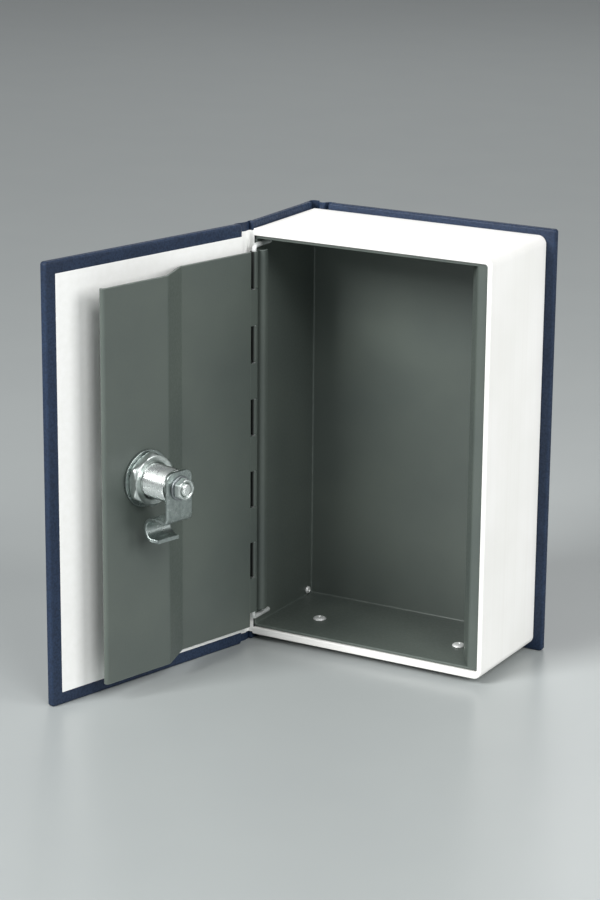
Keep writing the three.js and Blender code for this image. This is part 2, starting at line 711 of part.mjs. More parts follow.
// Cam: flat on the plug, bent back towards the door and curled into a hook at its end
function makeCam() {
  const flat = camStart + camThickness / 2;
  const hookCentre = plateauFace + camHookStandoff + camThickness / 2 + camHookRadius;
  const steps = bendSteps * 2;
  const hook = Array.from({ length: steps + 1 }, (_, i) => {
    const angle = Math.PI + (i / steps) * Math.PI;
    return [hookCentre + camHookRadius * Math.sin(angle),
      -(camDrop + camHookRadius + camHookRadius * Math.cos(angle))];
  });
  const arm = softened([[flat, camRise], [flat, -camDrop], hook[0]], camBendRadius);
  const lip = [hookCentre + camLipLength, -(camDrop + camHookRadius * 2)];
  const path = [...arm.slice(0, -1), ...hook, lip].map(([y, drop]) => [y, lockHeight + drop]);
  const hole = squareBar(squareDrive + driveClearance * 2, camStart - overrun,
    camStart + camThickness + overrun);
  const cam = prismX(strip(path, camThickness), lockX - camWidth / 2, lockX + camWidth / 2).subtract(hole);
  return named('cam', cam, zincPlate);
}

function makeCamWasher() {
  const end = camWasherStart + camWasherThickness;
  const washer = lockRod(camWasherRadius, camWasherStart, end)
    .subtract(lockRod(studRadius + partGap, camWasherStart - overrun, end + overrun, smallFacets));
  return named('cam_washer', washer, springSteel);
}

function makeCamNut() {
  const end = camNutStart + camNutThickness;
  const bore = studRadius + partGap;
  const mouth = turned([[0, end - camNutChamfer], [bore, end - camNutChamfer],
    [bore + camNutChamfer + overrun, end + overrun], [0, end + overrun]]);
  const nut = hexBar(camNutAcross, camNutStart, end).subtract(mouth)
    .subtract(lockRod(bore, camNutStart - overrun, end + overrun, smallFacets));
  return named('cam_nut', nut, zincPlate);
}

// Blind rivets: a domed head inside the box and a shank through the wall
function rivet(headRadius, tipLength) {
  const dome = Array.from({ length: bendSteps + 1 }, (_, i) => {
    const angle = (i / bendSteps) * (Math.PI / 2);
    return new THREE.Vector2(headRadius * Math.cos(angle), rivetHeadHeight * Math.sin(angle));
  });
  dome[bendSteps].x = 0;
  const profile = [new THREE.Vector2(0, -tipLength), new THREE.Vector2(rivetShankRadius, -tipLength),
    new THREE.Vector2(rivetShankRadius, 0), ...dome];
  return solid(new THREE.LatheGeometry(profile, smallFacets));
}

function makeFloorRivet([name, x, y]) {
  const seat = boxFloor + glueGap;
  const body = rivet(floorRivetHeadRadius, seat - rivetTipInset).rotate([90, 0, 0]).translate([x, y, seat]);
  return named(name, body, brightPlate);
}

function makeSpineRivet() {
  const wall = steelThickness + glueGap;
  const tip = wall - spineBoardX[0] - rivetTipInset;
  const body = rivet(spineRivetHeadRadius, tip).rotate([0, 0, -90])
    .translate([wall, spineRivetDepth, spineRivetHeight]);
  return named('spine_rivet', body, brightPlate);
}

// The cover and all that it carries turn about the hinge pin
function makeCover() {
  const cover = new THREE.Group();
  cover.position.set(axisX, axisY, 0);
  cover.rotation.z = -openAngle;
  const shut = new THREE.Group();
  shut.position.set(-axisX, -axisY, 0);
  cover.add(shut);
  const strips = [doorLowEnd - foamInset - foamWidth, jointWidth + foamInset];
  shut.add(makeFrontBoard(), makeFrontCloth(),
    paperSheet('front_liner', -(coverReveal + paperThickness), -coverReveal, true),
    makeDoor(), makeFoamStrip('foam_strip_outer', strips[0]), makeFoamStrip('foam_strip_inner', strips[1]),
    makeLockHousing(), makeLockWasher(), makeLockNut(), makeLockPlug(), makeStopWasher(), makeCam(),
    makeCamWasher(), makeCamNut());
  for (let i = 0; i < waferCount; i += 1) {
    shut.add(makeWafer(i), makeWaferSpring(i));
  }
  return cover;
}

const spineBoard = block(spineBoardX, spineBoardY, boardZ).subtract(makeSpineRivetHole());
const backBoard = block(frontBoardX, backBoardY, boardZ);

const book = new THREE.Group();
book.add(makePageShell(), makeSteelBox(), makeHingePin(), ...floorRivetPlaces.map(makeFloorRivet),
  makeSpineRivet(), named('spine_board', spineBoard, boardCard), named('back_board', backBoard, boardCard),
  makeBackCloth(),
  paperSheet('back_liner', backFace, backFace + paperThickness, false),
  makeJointSheet('joint_cloth', 0, clothThickness, 0, navyCloth),
  makeJointSheet('joint_lining', clothThickness + glueGap, paperThickness, turnInWidth, whitePaper),
  makeCover());

// The origin is the middle of the open book's footprint on the surface that it stands on
const safe = new THREE.Group();
safe.add(book);
safe.updateMatrixWorld(true);
const reach = new THREE.Box3().setFromObject(safe, true);
const middle = reach.getCenter(new THREE.Vector3());
book.position.set(-middle.x, -middle.y, -reach.min.z);
safe.updateMatrixWorld(true);

export default safe;
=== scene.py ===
"""Looks of the book diversion safe: a steel box dressed as a hardback book, with its cover open.

Sizes are in millimetres in the frame of the shut book: X from the spine to the fore-edge, Y from the front
cover to the back cover, Z up from the foot of the page block. The cover and all that it carries are worked
out shut and then turned open about the hinge pin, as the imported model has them.
"""

import math

import bpy
import numpy as np
from mathutils import Matrix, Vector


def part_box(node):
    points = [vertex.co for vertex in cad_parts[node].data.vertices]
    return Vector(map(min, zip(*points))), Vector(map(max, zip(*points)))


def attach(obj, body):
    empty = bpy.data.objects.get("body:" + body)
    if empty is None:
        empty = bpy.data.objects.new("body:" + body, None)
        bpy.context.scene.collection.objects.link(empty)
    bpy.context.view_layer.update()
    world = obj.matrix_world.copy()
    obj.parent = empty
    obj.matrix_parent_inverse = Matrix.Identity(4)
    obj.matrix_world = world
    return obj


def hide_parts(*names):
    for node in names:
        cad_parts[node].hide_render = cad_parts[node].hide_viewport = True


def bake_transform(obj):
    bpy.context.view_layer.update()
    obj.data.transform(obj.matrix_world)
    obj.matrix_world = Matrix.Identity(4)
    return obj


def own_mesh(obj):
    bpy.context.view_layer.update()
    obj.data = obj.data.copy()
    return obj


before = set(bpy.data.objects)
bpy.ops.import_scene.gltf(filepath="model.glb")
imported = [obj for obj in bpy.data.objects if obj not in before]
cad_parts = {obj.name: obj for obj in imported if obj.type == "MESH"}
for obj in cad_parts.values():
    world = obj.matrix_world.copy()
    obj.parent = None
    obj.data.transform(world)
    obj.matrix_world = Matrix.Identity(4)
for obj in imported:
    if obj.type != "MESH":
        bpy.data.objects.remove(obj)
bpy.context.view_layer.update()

MM = 0.001
TINY = 1e-9
OPEN_ANGLE = math.radians(104.7)
BODIES_ON_COVER = ("cover", "lock_core")

# Page block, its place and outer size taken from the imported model
BLOCK_CORNER, block_far_corner = np.array(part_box("page_shell")) / MM
PAGE_WIDTH, PAGE_DEPTH, PAGE_HEIGHT = np.round(block_far_corner - BLOCK_CORNER, 2).tolist()
PAGE_END_WALL, PAGE_FORE_WALL, PAGE_CORNER = 3.0, 2.0, 3.5

# Steel box
STEEL, BOX_GAP, BOX_FRONT = 1.1, 0.2, 1.1
BOX_RIGHT = PAGE_WIDTH - PAGE_FORE_WALL - BOX_GAP
BOX_FOOT = PAGE_END_WALL + BOX_GAP
BOX_HEAD = PAGE_HEIGHT - PAGE_END_WALL - BOX_GAP
BOX_FLOOR = BOX_FOOT + STEEL
FORE_FLANGE, LIP_LEAN, LIP_DEPTH = 4.2, 8.3, 13.8
HINGE_FLANGE, HINGE_RETURN = 4.6, 3.0
FLOOR_RIVETS = {"left": (21.5, 20.4), "right": (87.2, 21.5)}
SPINE_RIVET = (45.5, BOX_FLOOR + 2.0)
RIVET_SHANK = 1.2

# Hinge
AXIS_X, AXIS_Y = 1.4, -1.5
PIN_RADIUS, PIN_LEG, PIN_BEND = 1.0, 12.5, 2.0
PIN_FOOT, PIN_HEAD = BOX_FOOT + 4.8, BOX_HEAD - 3.6
KNUCKLES, KNUCKLE_GAP, KNUCKLE_SHEET = 10, 0.3, 0.5
KNUCKLE_PATH_RADIUS = PIN_RADIUS + 0.1 + KNUCKLE_SHEET / 2
KNUCKLE_FOOT, KNUCKLE_HEAD = PIN_FOOT + 2.9, PIN_HEAD - 2.1

# Door, its sheet followed along the middle
DOOR_SHEET, DOOR_STEP, DOOR_STEP_RUN, PLATEAU_WIDTH = 1.0, 8.6, 14.9, 34.2
DOOR_LOW_Y = BOX_FRONT - 0.5 - DOOR_SHEET / 2
DOOR_HIGH_Y = DOOR_LOW_Y + DOOR_STEP
PLATEAU_FACE = DOOR_HIGH_Y + DOOR_SHEET / 2
DOOR_FOOT, DOOR_HEAD = BOX_FLOOR + 0.7, BOX_HEAD - STEEL - 4.3
DOOR_EDGE = BOX_RIGHT - 12.6
PLATEAU_START = DOOR_EDGE - PLATEAU_WIDTH
DOOR_LOW_END = PLATEAU_START - DOOR_STEP_RUN

# Book case
COVER_THICK, JOINT, TURN_IN = 3.2, 7.0, 5.1
COVER_FOOT, COVER_HEAD, COVER_EDGE = -2.7, PAGE_HEIGHT + 2.7, PAGE_WIDTH + 3.8
FRONT_INSIDE, BACK_INSIDE = -2.4, PAGE_DEPTH + 0.1
FRONT_OUTSIDE, BACK_OUTSIDE = FRONT_INSIDE - COVER_THICK, BACK_INSIDE + COVER_THICK
SPINE_OUTSIDE, SPINE_INSIDE = -2.7, -0.3
SPINE_FRONT, SPINE_BACK = 0.6, PAGE_DEPTH - 0.6

# Lock
LOCK_X, LOCK_Z = DOOR_EDGE - 21.6, 0.496 * PAGE_HEIGHT
BARREL_RADIUS, BARREL_BORE, BARREL_END = 7.0, 5.2, PLATEAU_FACE + 17.1
BEZEL_BACK = FRONT_OUTSIDE - 0.1
BEZEL_FACE = BEZEL_BACK - 1.9
CAM_SHEET = 1.5
CAM_FRONT = BARREL_END + 1.1
CAM_BACK = CAM_FRONT + CAM_SHEET
WAFERS, WAFER_PITCH, WAFER_FIRST = 4, 3.0, BEZEL_FACE + 5.0


# Outlines

def unit(vectors):
    """Each vector divided by its own length."""
    return vectors / np.maximum(np.linalg.norm(vectors, axis=-1, keepdims=True), TINY)


def full_turn(sides):
    """Evenly spaced angles of one full turn."""
    return np.linspace(0, 2 * math.pi, sides, endpoint=False)


def rounded(points, radii, steps=6, closed=True):
    """Each corner P with a radius r gets the arc that touches both of its sides: its centre lies on the
    bisector at r / sin(half the corner's angle) from P, and it starts r / tan(half) along each side. An arc
    takes less than half of a side, and a corner that is almost straight stays a point."""
    side_share, almost_straight = 0.49, math.radians(88)
    points = np.asarray(points, float)
    count = len(points)
    radii = np.broadcast_to(radii, count)
    out = []
    for i, (corner, radius) in enumerate(zip(points, radii)):
        if radius <= 0 or (not closed and i in (0, count - 1)):
            out.append(corner[None])
            continue
        back, ahead = points[i - 1] - corner, points[(i + 1) % count] - corner
        room = min(np.linalg.norm(back), np.linalg.norm(ahead)) * side_share
        back, ahead = unit(back), unit(ahead)
        half = math.acos(np.clip(back @ ahead, -1, 1)) / 2
        if half > almost_straight:
            out.append(corner[None])
            continue
        reach = min(radius / math.tan(half), room)
        radius = reach * math.tan(half)
        centre = corner + unit(back + ahead) * radius / math.sin(half)
        first, last = corner + back * reach - centre, corner + ahead * reach - centre
        sweep = math.pi - 2 * half
        t = np.linspace(0, 1, steps + 1)[:, None]
        out.append(centre + (np.sin((1 - t) * sweep) * first + np.sin(t * sweep) * last) / math.sin(sweep))
    return np.concatenate(out)


def rectangle(a0, a1, b0, b1, radii, steps=6):
    """A rectangle with its own radius at each corner, from low-low counter-clockwise."""
    return rounded([[a0, b0], [a1, b0], [a1, b1], [a0, b1]], radii, steps)


def held(loop, gap=0.2, closed=True):
    """Sides longer than five gaps get a point one gap from each end, so that the flat between them shades
    flat."""
    ends = np.roll(loop, -1, axis=0) if closed else loop[1:]
    starts = loop if closed else loop[:-1]
    length = np.linalg.norm(ends - starts, axis=1)
    out = []
    for start, end, long in zip(starts, ends, length):
        out.append(start)
        if long > gap * 5:
            out += [start + (end - start) * gap / long, end - (end - start) * gap / long]
    if not closed:
        out.append(loop[-1])
    return np.array(out)


def inset(loop, amount):
    """A counter-clockwise loop moved inwards: each point goes along (n1 + n2) / (1 + n1.n2), the mitre of
    the left normals of its two sides, which is held back where the corner is very sharp."""
    ahead = unit(np.roll(loop, -1, axis=0) - loop)
    back = np.roll(ahead, 1, axis=0)
    n1, n2 = (np.stack([-v[:, 1], v[:, 0]], 1) for v in (back, ahead))
    return loop + amount * (n1 + n2) / np.maximum(1 + (n1 * n2).sum(1), 0.4)[:, None]


def counter_clockwise(loop):
    """The loop, turned round if its signed area is negative."""
    x, y = loop.T
    return loop if (x * np.roll(y, -1) - y * np.roll(x, -1)).sum() > 0 else loop[::-1]


def sheet(path, thickness, edge=0.42):
    """The outline of bent sheet: the path moved by half the thickness to each side, over the cosine of the
    bend there, its four end corners rounded."""
    path = np.asarray(path, float)
    ahead = unit(np.gradient(path, axis=0))
    segment = unit(np.diff(path, axis=0))
    lean = np.concatenate([(ahead[:-1] * segment).sum(1), [1.0]])
    side = np.stack([-ahead[:, 1], ahead[:, 0]], 1) * (thickness / 2 / np.maximum(lean, 0.6))[:, None]
    count = len(path)
    radii = np.zeros(2 * count)
    radii[[0, count - 1, count, 2 * count - 1]] = edge
    return counter_clockwise(rounded(np.concatenate([path + side, (path - side)[::-1]]), radii, 4))


def folded(points, radii, steps, thickness, edge=0.42):
    """The outline of sheet folded along straight runs, with a bend radius at each corner of its path."""
    return sheet(rounded(points, radii, steps, False), thickness, edge)


def curvature(path, closed=False):
    """How sharply a path turns at each point: the turn there over the mean length beside it, as 0 up to 1
    per millimetre and 1 from 3 per millimetre."""
    ahead = np.roll(path, -1, axis=0) - path
    back = np.roll(ahead, 1, axis=0)
    beside = (np.linalg.norm(ahead, axis=1) + np.linalg.norm(back, axis=1)) / 2
    cross = back[:, 0] * ahead[:, 1] - back[:, 1] * ahead[:, 0]
    bend = np.abs(np.arctan2(cross, (back * ahead).sum(1))) / np.maximum(beside, 0.02)
    if not closed:
        bend[[0, -1]] = 0
    return np.clip((bend - 1) / 2, 0, 1)


# Surfaces

def skin(rings, edge_wear_and_highlight=None, closed=False):
    """A closed surface over rings of equal count: quads join neighbours, and either the last ring joins
    the first or the two end rings are filled. The faces are turned outwards by the volume's sign."""
    rings = np.asarray(rings, float)
    rows, count, _ = rings.shape
    i = np.arange(rows if closed else rows - 1)[:, None]
    j = np.arange(count)[None, :]
    k, n = (i + 1) % rows, (j + 1) % count
    faces = np.stack([i * count + j, i * count + n, k * count + n, k * count + j], -1).reshape(-1, 4).tolist()
    if not closed:
        faces += [list(range(count))[::-1], list(range((rows - 1) * count, rows * count))]
    points = rings.reshape(-1, 3)
    tri = np.array([[f[0], f[q], f[q + 1]] for f in faces for q in range(1, len(f) - 1)])
    a, b, c = (points[tri[:, q]] for q in range(3))
    if (a * np.cross(b, c)).sum() < 0:
        faces = [f[::-1] for f in faces]
    edge_wear_and_highlight = np.zeros((rows, count)) if edge_wear_and_highlight is None else np.broadcast_to(edge_wear_and_highlight, (rows, count))
    return points, faces, edge_wear_and_highlight.reshape(-1)


def laid_along(axis, first, second, level):
    """Points of a cross-section at a level along an axis. The section lies in X and Y for Z, in X and Z for
    Y, and in Y and Z for X."""
    first, second, level = np.broadcast_arrays(first, second, level)
    order = {"x": (level, first, second), "y": (first, level, second), "z": (first, second, level)}
    return np.stack(order[axis], -1)


def end_profile(low, high, edge, steps, gap):
    """The rings of a bar as (inset, level): a quarter circle of radius edge at each end, and a ring just
    inside each flat that keeps it flat."""
    a = np.linspace(0, math.pi / 2, steps + 1)
    rise = np.stack([edge * (1 - np.sin(a)), low + edge * (1 - np.cos(a))], 1)
    rows = [[edge + gap, low], *rise.tolist(), [0, low + edge + gap]]
    mirror = [[d, high + low - level] for d, level in rows[::-1]]
    return np.array(rows + mirror)


def bar(loop, low, high, edge=0.25, along="z", gap=0.1, steps=4):
    """A loop carried along an axis, with its end edges rounded. The loop's own corners are rounder than edge
    and gap together."""
    loop = held(counter_clockwise(np.asarray(loop, float)), gap)
    profile = end_profile(low, high, edge, steps, gap)
    flat = np.stack([inset(loop, d) for d, _ in profile])
    edge_wear_and_highlight = np.maximum(curvature(profile)[:, None], curvature(loop, True)[None, :])
    return skin(laid_along(along, flat[..., 0], flat[..., 1], profile[:, 1:]), edge_wear_and_highlight)


def turned(profile, centre, axis="y", sides=64, closed=True, gap=0.12):
    """A profile of (radius, level) turned about an axis. A closed profile is a ring with a bore, and an
    open one is filled at both ends."""
    profile = held(np.asarray(profile, float), gap, closed)
    radius, level, angle = profile[:, :1], profile[:, 1:], full_turn(sides)
    rings = laid_along(axis, centre[0] + radius * np.cos(angle), centre[1] + radius * np.sin(angle), level)
    return skin(rings, curvature(profile, closed)[:, None], closed)


def about_lock(radius, level, angle):
    """Points at a radius and an angle about the lock's axis, at a level along it."""
    return laid_along("y", LOCK_X + radius * np.cos(angle), LOCK_Z + radius * np.sin(angle), level)


def thread_rings(radius, depth, pitch, low, high, sides):
    """Rings of a screw thread about the lock's axis. The radius falls by depth x (1 - cos p) / 2, where p is
    the turn of y / pitch less the angle, and the thread runs out over 0.6 of a pitch at its high end."""
    rings_per_pitch, run_out = 8, pitch * 0.6
    y = np.linspace(low, high, round((high - low) / pitch * rings_per_pitch))[:, None]
    angle = full_turn(sides)
    phase = 2 * math.pi * y / pitch - angle
    chamfer = np.clip((y - (high - run_out)) / run_out, 0, 1)
    return about_lock(radius - depth * np.maximum((1 - np.cos(phase)) / 2, chamfer), y, angle)


def hex_nut(across, bore, low, high, chamfer, mouth):
    """A nut about the lock's axis. Its outside is the smaller of the hexagon's radius, across / 2 over the
    cosine of the angle from the nearest flat's middle, and a cone that falls towards both faces."""
    angle, flat, sixth = full_turn(96), across / 2, math.pi / 3
    hexagon = np.minimum(flat / np.cos((angle + sixth / 2) % sixth - sixth / 2), flat / 0.88)
    cone = [(0, 0), (0.15, 0.25), (chamfer / 2, 0.9), (chamfer, 1.9)]
    outside = [(low + rise, slack) for rise, slack in cone]
    outside += [(high - rise, slack) for rise, slack in cone[::-1]]
    bored_side = [(flat - 0.5, high), (bore + mouth + 0.1, high), (bore + mouth, high - 0.05),
                  (bore, high - mouth), (bore, low + 0.4), (bore + 0.3, low)]
    rings = [about_lock(np.minimum(hexagon, flat - 0.1 + slack), y, angle) for y, slack in outside]
    rings += [about_lock(radius, y, angle) for radius, y in bored_side]
    return skin(rings, closed=True)


def band(path, widths, thickness, edge):
    """A flat bar whose middle follows a path in Y and Z: each ring is a rounded rectangle, its width along X
    and its thickness along the path's normal, and the width changes along the path."""
    ahead = unit(np.gradient(path, axis=0))
    normal = np.stack([-ahead[:, 1], ahead[:, 0]], 1)
    widest = max(widths)
    loop = held(rectangle(-widest / 2, widest / 2, -thickness / 2, thickness / 2, edge, 3), 0.25)
    across = loop[:, 0] * (widths / widest)[:, None]
    off = loop[:, 1][None, :, None] * normal[:, None, :]
    rings = np.stack([LOCK_X + across, path[:, :1] + off[..., 0], path[:, 1:] + off[..., 1]], -1)
    return skin(rings, curvature(loop, True)[None, :])


def wire(route, radius, sides=20, dome=4):
    """Round wire along a route in the plane X = constant: each ring stands square to the route, and both
    ends close in a dome whose rings shrink as a quarter circle's do, 0.6 of the radius high."""
    ahead = unit(np.gradient(route, axis=0))
    between = len(route) - 2
    a = np.linspace(math.pi / 2 * 0.9, 0, dome)
    bulge, shrink = 0.6 * radius * np.sin(a), radius * np.cos(a)
    reach = np.concatenate([-bulge, np.zeros(between), bulge[::-1]])
    size = np.concatenate([shrink, np.full(between, radius), shrink[::-1]])
    index = np.concatenate([np.zeros(dome, int), np.arange(1, between + 1), np.full(dome, between + 1)])
    centre, axis = route[index] + ahead[index] * reach[:, None], ahead[index]
    across = np.broadcast_to([1.0, 0, 0], axis.shape)
    up = np.cross(axis, across)
    angle = full_turn(sides)[None, :, None]
    section = np.cos(angle) * across[:, None] + np.sin(angle) * up[:, None]
    return skin(centre[:, None] + size[:, None, None] * section)


def coil(x, y, low, high, radius=0.45, thick=0.12, turns=4):
    """Spring wire: the centre runs at (x + r cos a, y + r sin a) and climbs evenly from one level to the
    other as a goes through its turns."""
    a = np.linspace(0, 2 * math.pi * turns, 24 * turns + 1)
    out = np.stack([np.cos(a), np.sin(a), np.zeros(len(a))], -1)
    centre = np.stack([x + radius * np.cos(a), y + radius * np.sin(a), np.linspace(low, high, len(a))], -1)
    up = np.cross(unit(np.gradient(centre, axis=0)), out)
    angle = full_turn(10)[None, :, None]
    return skin(centre[:, None] + thick * (np.cos(angle) * out[:, None] + np.sin(angle) * up[:, None]))


# Finishes

def linear(hexcode):
    """An sRGB colour written in hex, as the linear values that a shader takes."""
    values = [int(hexcode[i:i + 2], 16) / 255 for i in (1, 3, 5)]
    return tuple(v / 12.92 if v <= 0.04045 else ((v + 0.055) / 1.055) ** 2.4 for v in values) + (1.0,)


def add(tree, kind, inputs, output=0, **settings):
    """Adds a node with its settings and gives one of its outputs. Inputs go by name or by number: another
    node's socket is linked, a hex colour is made linear and set, and any other value is set."""
    made = tree.nodes.new("ShaderNode" + kind)
    for key, value in settings.items():
        setattr(made, key, value)
    for key, value in inputs.items() if isinstance(inputs, dict) else enumerate(inputs):
        if isinstance(value, bpy.types.NodeSocket):
            tree.links.new(value, made.inputs[key])
        else:
            made.inputs[key].default_value = linear(value) if isinstance(value, str) else value
    return made.outputs[output] if len(made.outputs) else None


def features(size_mm):
    """The scale of a pattern whose features are so many millimetres wide."""
    return 1 / (size_mm * MM)


def begun(name, *patterns):
    """A new material, its tree, its object coordinates in metres and its noise patterns. Each pattern is
    given by the width of its features in millimetres, its detail, its roughness and, where the features are
    drawn out, a scale for each axis: the smaller it is, the longer they are."""
    material = bpy.data.materials.new(name)
    material.use_nodes = True
    tree, noises = material.node_tree, []
    tree.nodes.clear()
    place = add(tree, "TexCoord", {}, "Object")
    for size, detail, roughness, *stretch in patterns:
        drawn = add(tree, "Mapping", {"Vector": place, "Scale": stretch[0]}) if stretch else place
        inputs = {"Vector": drawn, "Scale": features(size), "Detail": detail, "Roughness": roughness}
        noises.append(add(tree, "TexNoise", inputs))
    return material, tree, place, *noises


def finished(material, base, layers, shader):
    """Ends a material: each layer's colour lies over the colours before it by its share, and the result goes
    to a plain shader with its other values."""
    tree, colour = material.node_tree, base
    for share, layer in layers:
        colour = add(tree, "Mix", {0: share, 6: colour, 7: layer}, 2, data_type="RGBA")
    add(tree, "OutputMaterial", {"Surface": add(tree, "BsdfPrincipled", {"Base Color": colour, **shader})})
    return material


def rubbed_and_highlit_edges(tree, patches, low, high, least, most):
    """How far each point is rubbed and painted paler, partly as real rubbing and partly as a painted
    highlight
    where edges catch light: 1 on rounded edges, from the mesh's own attribute, times a share that goes from
    least to most as the noise of the patches goes from low to high."""
    edges = add(tree, "Attribute", {}, "Fac", attribute_name="edge_wear_and_highlight")
    share = add(tree, "MapRange", [patches, low, high, least, most])
    return add(tree, "Math", [edges, share], operation="MULTIPLY")


def painted_knuckle_shade(tree, place):
    """The mask of the painted shade on the box's knuckles, 1 on their outer half and 0 elsewhere: within a
    reach of an upright line beside the hinge pin, on the side away from the box, with a soft border."""
    line_x, line_y, reach, border = AXIS_X - 1.04, AXIS_Y - 0.6, 1.9, 0.3
    line = ((line_x + BLOCK_CORNER[0]) * MM, (line_y + BLOCK_CORNER[1]) * MM, 0.0)
    flat = add(tree, "VectorMath", [place, (1.0, 1.0, 0.0)], operation="MULTIPLY")
    away = add(tree, "VectorMath", [flat, line], "Value", operation="DISTANCE")
    return add(tree, "MapRange", [away, reach * MM, (reach + border) * MM, 1, 0])


def powder_coated_steel(name, shaded_knuckles):
    """Mild steel sheet with a grey polyester powder coat, baked on: satin, with the low orange peel that
    melted powder leaves, paler specks of grit and thinner, paler paint over sharp edges, which also stands as
    a painted highlight where the edges catch light. On the box, the outer half of each knuckle is painted
    near black: painted shade that stands for the shade in the hinge's slots."""
    material, tree, place, drift, peel, grit, patches = begun(
        name, (45, 3, 0.5), (1.1, 3, 0.55), (0.35, 2, 0.5), (3, 3, 0.5))
    layers = [(add(tree, "MapRange", [drift, 0.3, 0.7]), "#5a625c"),
              (add(tree, "MapRange", [grit, 0.62, 0.8, 0, 0.25]), "#69716c"),
              # Paler paint on rounded edges: rubbing, and a painted highlight where the edges catch light.
              (rubbed_and_highlit_edges(tree, patches, 0.35, 0.65, 0.15, 0.6), "#828b86")]
    # Painted shade: the box's knuckles are coloured near black on their outer half, where the hinge's slots
    # lie in shade.
    if shaded_knuckles:
        layers.append((painted_knuckle_shade(tree, place), "#171a18"))
    relief = add(tree, "Bump", {"Height": peel, "Distance": 0.03 * MM})
    relief = add(tree, "Bump", {"Height": grit, "Distance": 0.006 * MM, "Normal": relief})
    gloss = add(tree, "MapRange", [peel, 0.3, 0.7, 0.36, 0.5])
    return finished(material, "#515955", layers, {"Roughness": gloss, "Normal": relief})


def moulded_page_block():
    """White polystyrene, moulded, with fine ribs for the page edges, some of them in bundles. Real pages are
    0.1 mm; the ribs are drawn about 0.7 mm apart so that they show."""
    material, tree, _, pages, bundles, cloud = begun(
        "moulded_page_block",
        (0.7, 4, 0.65, (0.004, 1.0, 0.004)), (6, 2, 0.5, (0.01, 1.0, 0.01)), (30, 2, 0.5))
    layers = [(add(tree, "MapRange", [cloud, 0.35, 0.65]), "#fbfaf7"),
              (add(tree, "MapRange", [pages, 0.5, 0.68, 0, 0.3]), "#eeece7"),
              (add(tree, "MapRange", [bundles, 0.55, 0.7, 0, 0.2]), "#f0eee9")]
    gloss = add(tree, "MapRange", [cloud, 0.3, 0.7, 0.46, 0.56])
    relief = add(tree, "Bump", {"Height": pages, "Distance": 0.03 * MM})
    return finished(material, "#f7f6f2", layers, {"Roughness": gloss, "Normal": relief})


def navy_leatherette():
    """Book cloth coated with pigmented PVC and embossed with a fine leather grain: uneven pebbles about
    0.85 mm across with creases between them, a soft gloss on the pebbles, and rounded edges painted paler,
    partly as rubbing and partly as a painted highlight."""
    material, tree, place, pores, drift, patches = begun(
        "navy_leatherette", (0.3, 3, 0.5), (20, 3, 0.5), (4, 4, 0.5))
    warp = add(tree, "TexNoise", {"Vector": place, "Scale": features(2.5), "Detail": 2}, "Color")
    uneven = add(tree, "VectorMath", [warp, (0.6 * MM,) * 3, place], operation="MULTIPLY_ADD")
    pebbles = add(tree, "TexVoronoi", {"Vector": uneven, "Scale": features(0.85), "Smoothness": 0.6},
                  "Distance", feature="SMOOTH_F1")
    layers = [(add(tree, "MapRange", [drift, 0.3, 0.7]), "#22344e"),
              (add(tree, "MapRange", [pebbles, 0.35, 0.7, 0, 0.5]), "#131d2e"),
              # Paler cloth on rounded edges: rubbing, and a painted highlight where the edges catch light.
              (rubbed_and_highlit_edges(tree, patches, 0.4, 0.7, 0.05, 0.5), "#4a5b74")]
    gloss = add(tree, "MapRange", [pebbles, 0.2, 0.7, 0.44, 0.66])
    height = add(tree, "Math", [1.0, pebbles], operation="SUBTRACT")
    relief = add(tree, "Bump", {"Height": height, "Distance": 0.1 * MM})
    relief = add(tree, "Bump", {"Height": pores, "Distance": 0.02 * MM, "Normal": relief})
    return finished(material, "#1c2c44", layers,
                    {"Roughness": gloss, "Normal": relief, "Specular IOR Level": 0.35})


def liner_paper():
    """Uncoated white offset paper pasted on the board: dead matt, with faint fibre clouds and the shallow
    waves that paste leaves."""
    material, tree, _, cloud, fibre, waves = begun("liner_paper", (3, 4, 0.6), (0.4, 3, 0.5), (14, 2, 0.5))
    layers = [(add(tree, "MapRange", [cloud, 0.3, 0.7]), "#fcfcfa"),
              (add(tree, "MapRange", [fibre, 0.6, 0.75, 0, 0.3]), "#efefea")]
    relief = add(tree, "Bump", {"Height": waves, "Distance": 0.12 * MM})
    relief = add(tree, "Bump", {"Height": fibre, "Distance": 0.012 * MM, "Normal": relief})
    return finished(material, "#f7f7f4", layers, {"Roughness": 0.88, "Normal": relief})


def grey_board():
    """Binder's board of pressed waste paper: grey-brown, flecked, matt."""
    material, tree, _, flecks = begun("grey_board", (0.9, 4, 0.7))
    layers = [(add(tree, "MapRange", [flecks, 0.35, 0.65]), "#a3977f")]
    relief = add(tree, "Bump", {"Height": flecks, "Distance": 0.05 * MM})
    return finished(material, "#857a66", layers, {"Roughness": 0.92, "Normal": relief})


def foam_tape():
    """Closed-cell polyethylene foam of mounting tape: off-white, with open cells of about 0.5 mm where it
    is cut."""
    material, tree, place = begun("foam_tape")
    cells = add(tree, "TexVoronoi", {"Vector": place, "Scale": features(0.5)}, "Distance")
    layers = [(add(tree, "MapRange", [cells, 0.1, 0.6]), "#c9c6bb")]
    relief = add(tree, "Bump", {"Height": cells, "Distance": 0.12 * MM})
    return finished(material, "#e9e7df", layers, {"Roughness": 0.9, "Normal": relief})


def nickel_plate(name, base, haze_colour, least, most, metallic):
    """Zinc die casting or steel wire under nickel: slightly wavy, with hazy patches where it has been
    handled. The plate is mirror-like at a roughness near 0.1 and satin near 0.5, and a pale bloom that has
    dried on it makes it less metallic."""
    material, tree, _, haze, waves = begun(name, (4, 3, 0.5), (1.6, 2, 0.5))
    layers = [(add(tree, "MapRange", [haze, 0.35, 0.65]), haze_colour)]
    gloss = add(tree, "MapRange", [haze, 0.3, 0.7, least, most])
    relief = add(tree, "Bump", {"Height": waves, "Distance": 0.012 * MM})
    return finished(material, base, layers, {"Roughness": gloss, "Normal": relief, "Metallic": metallic})


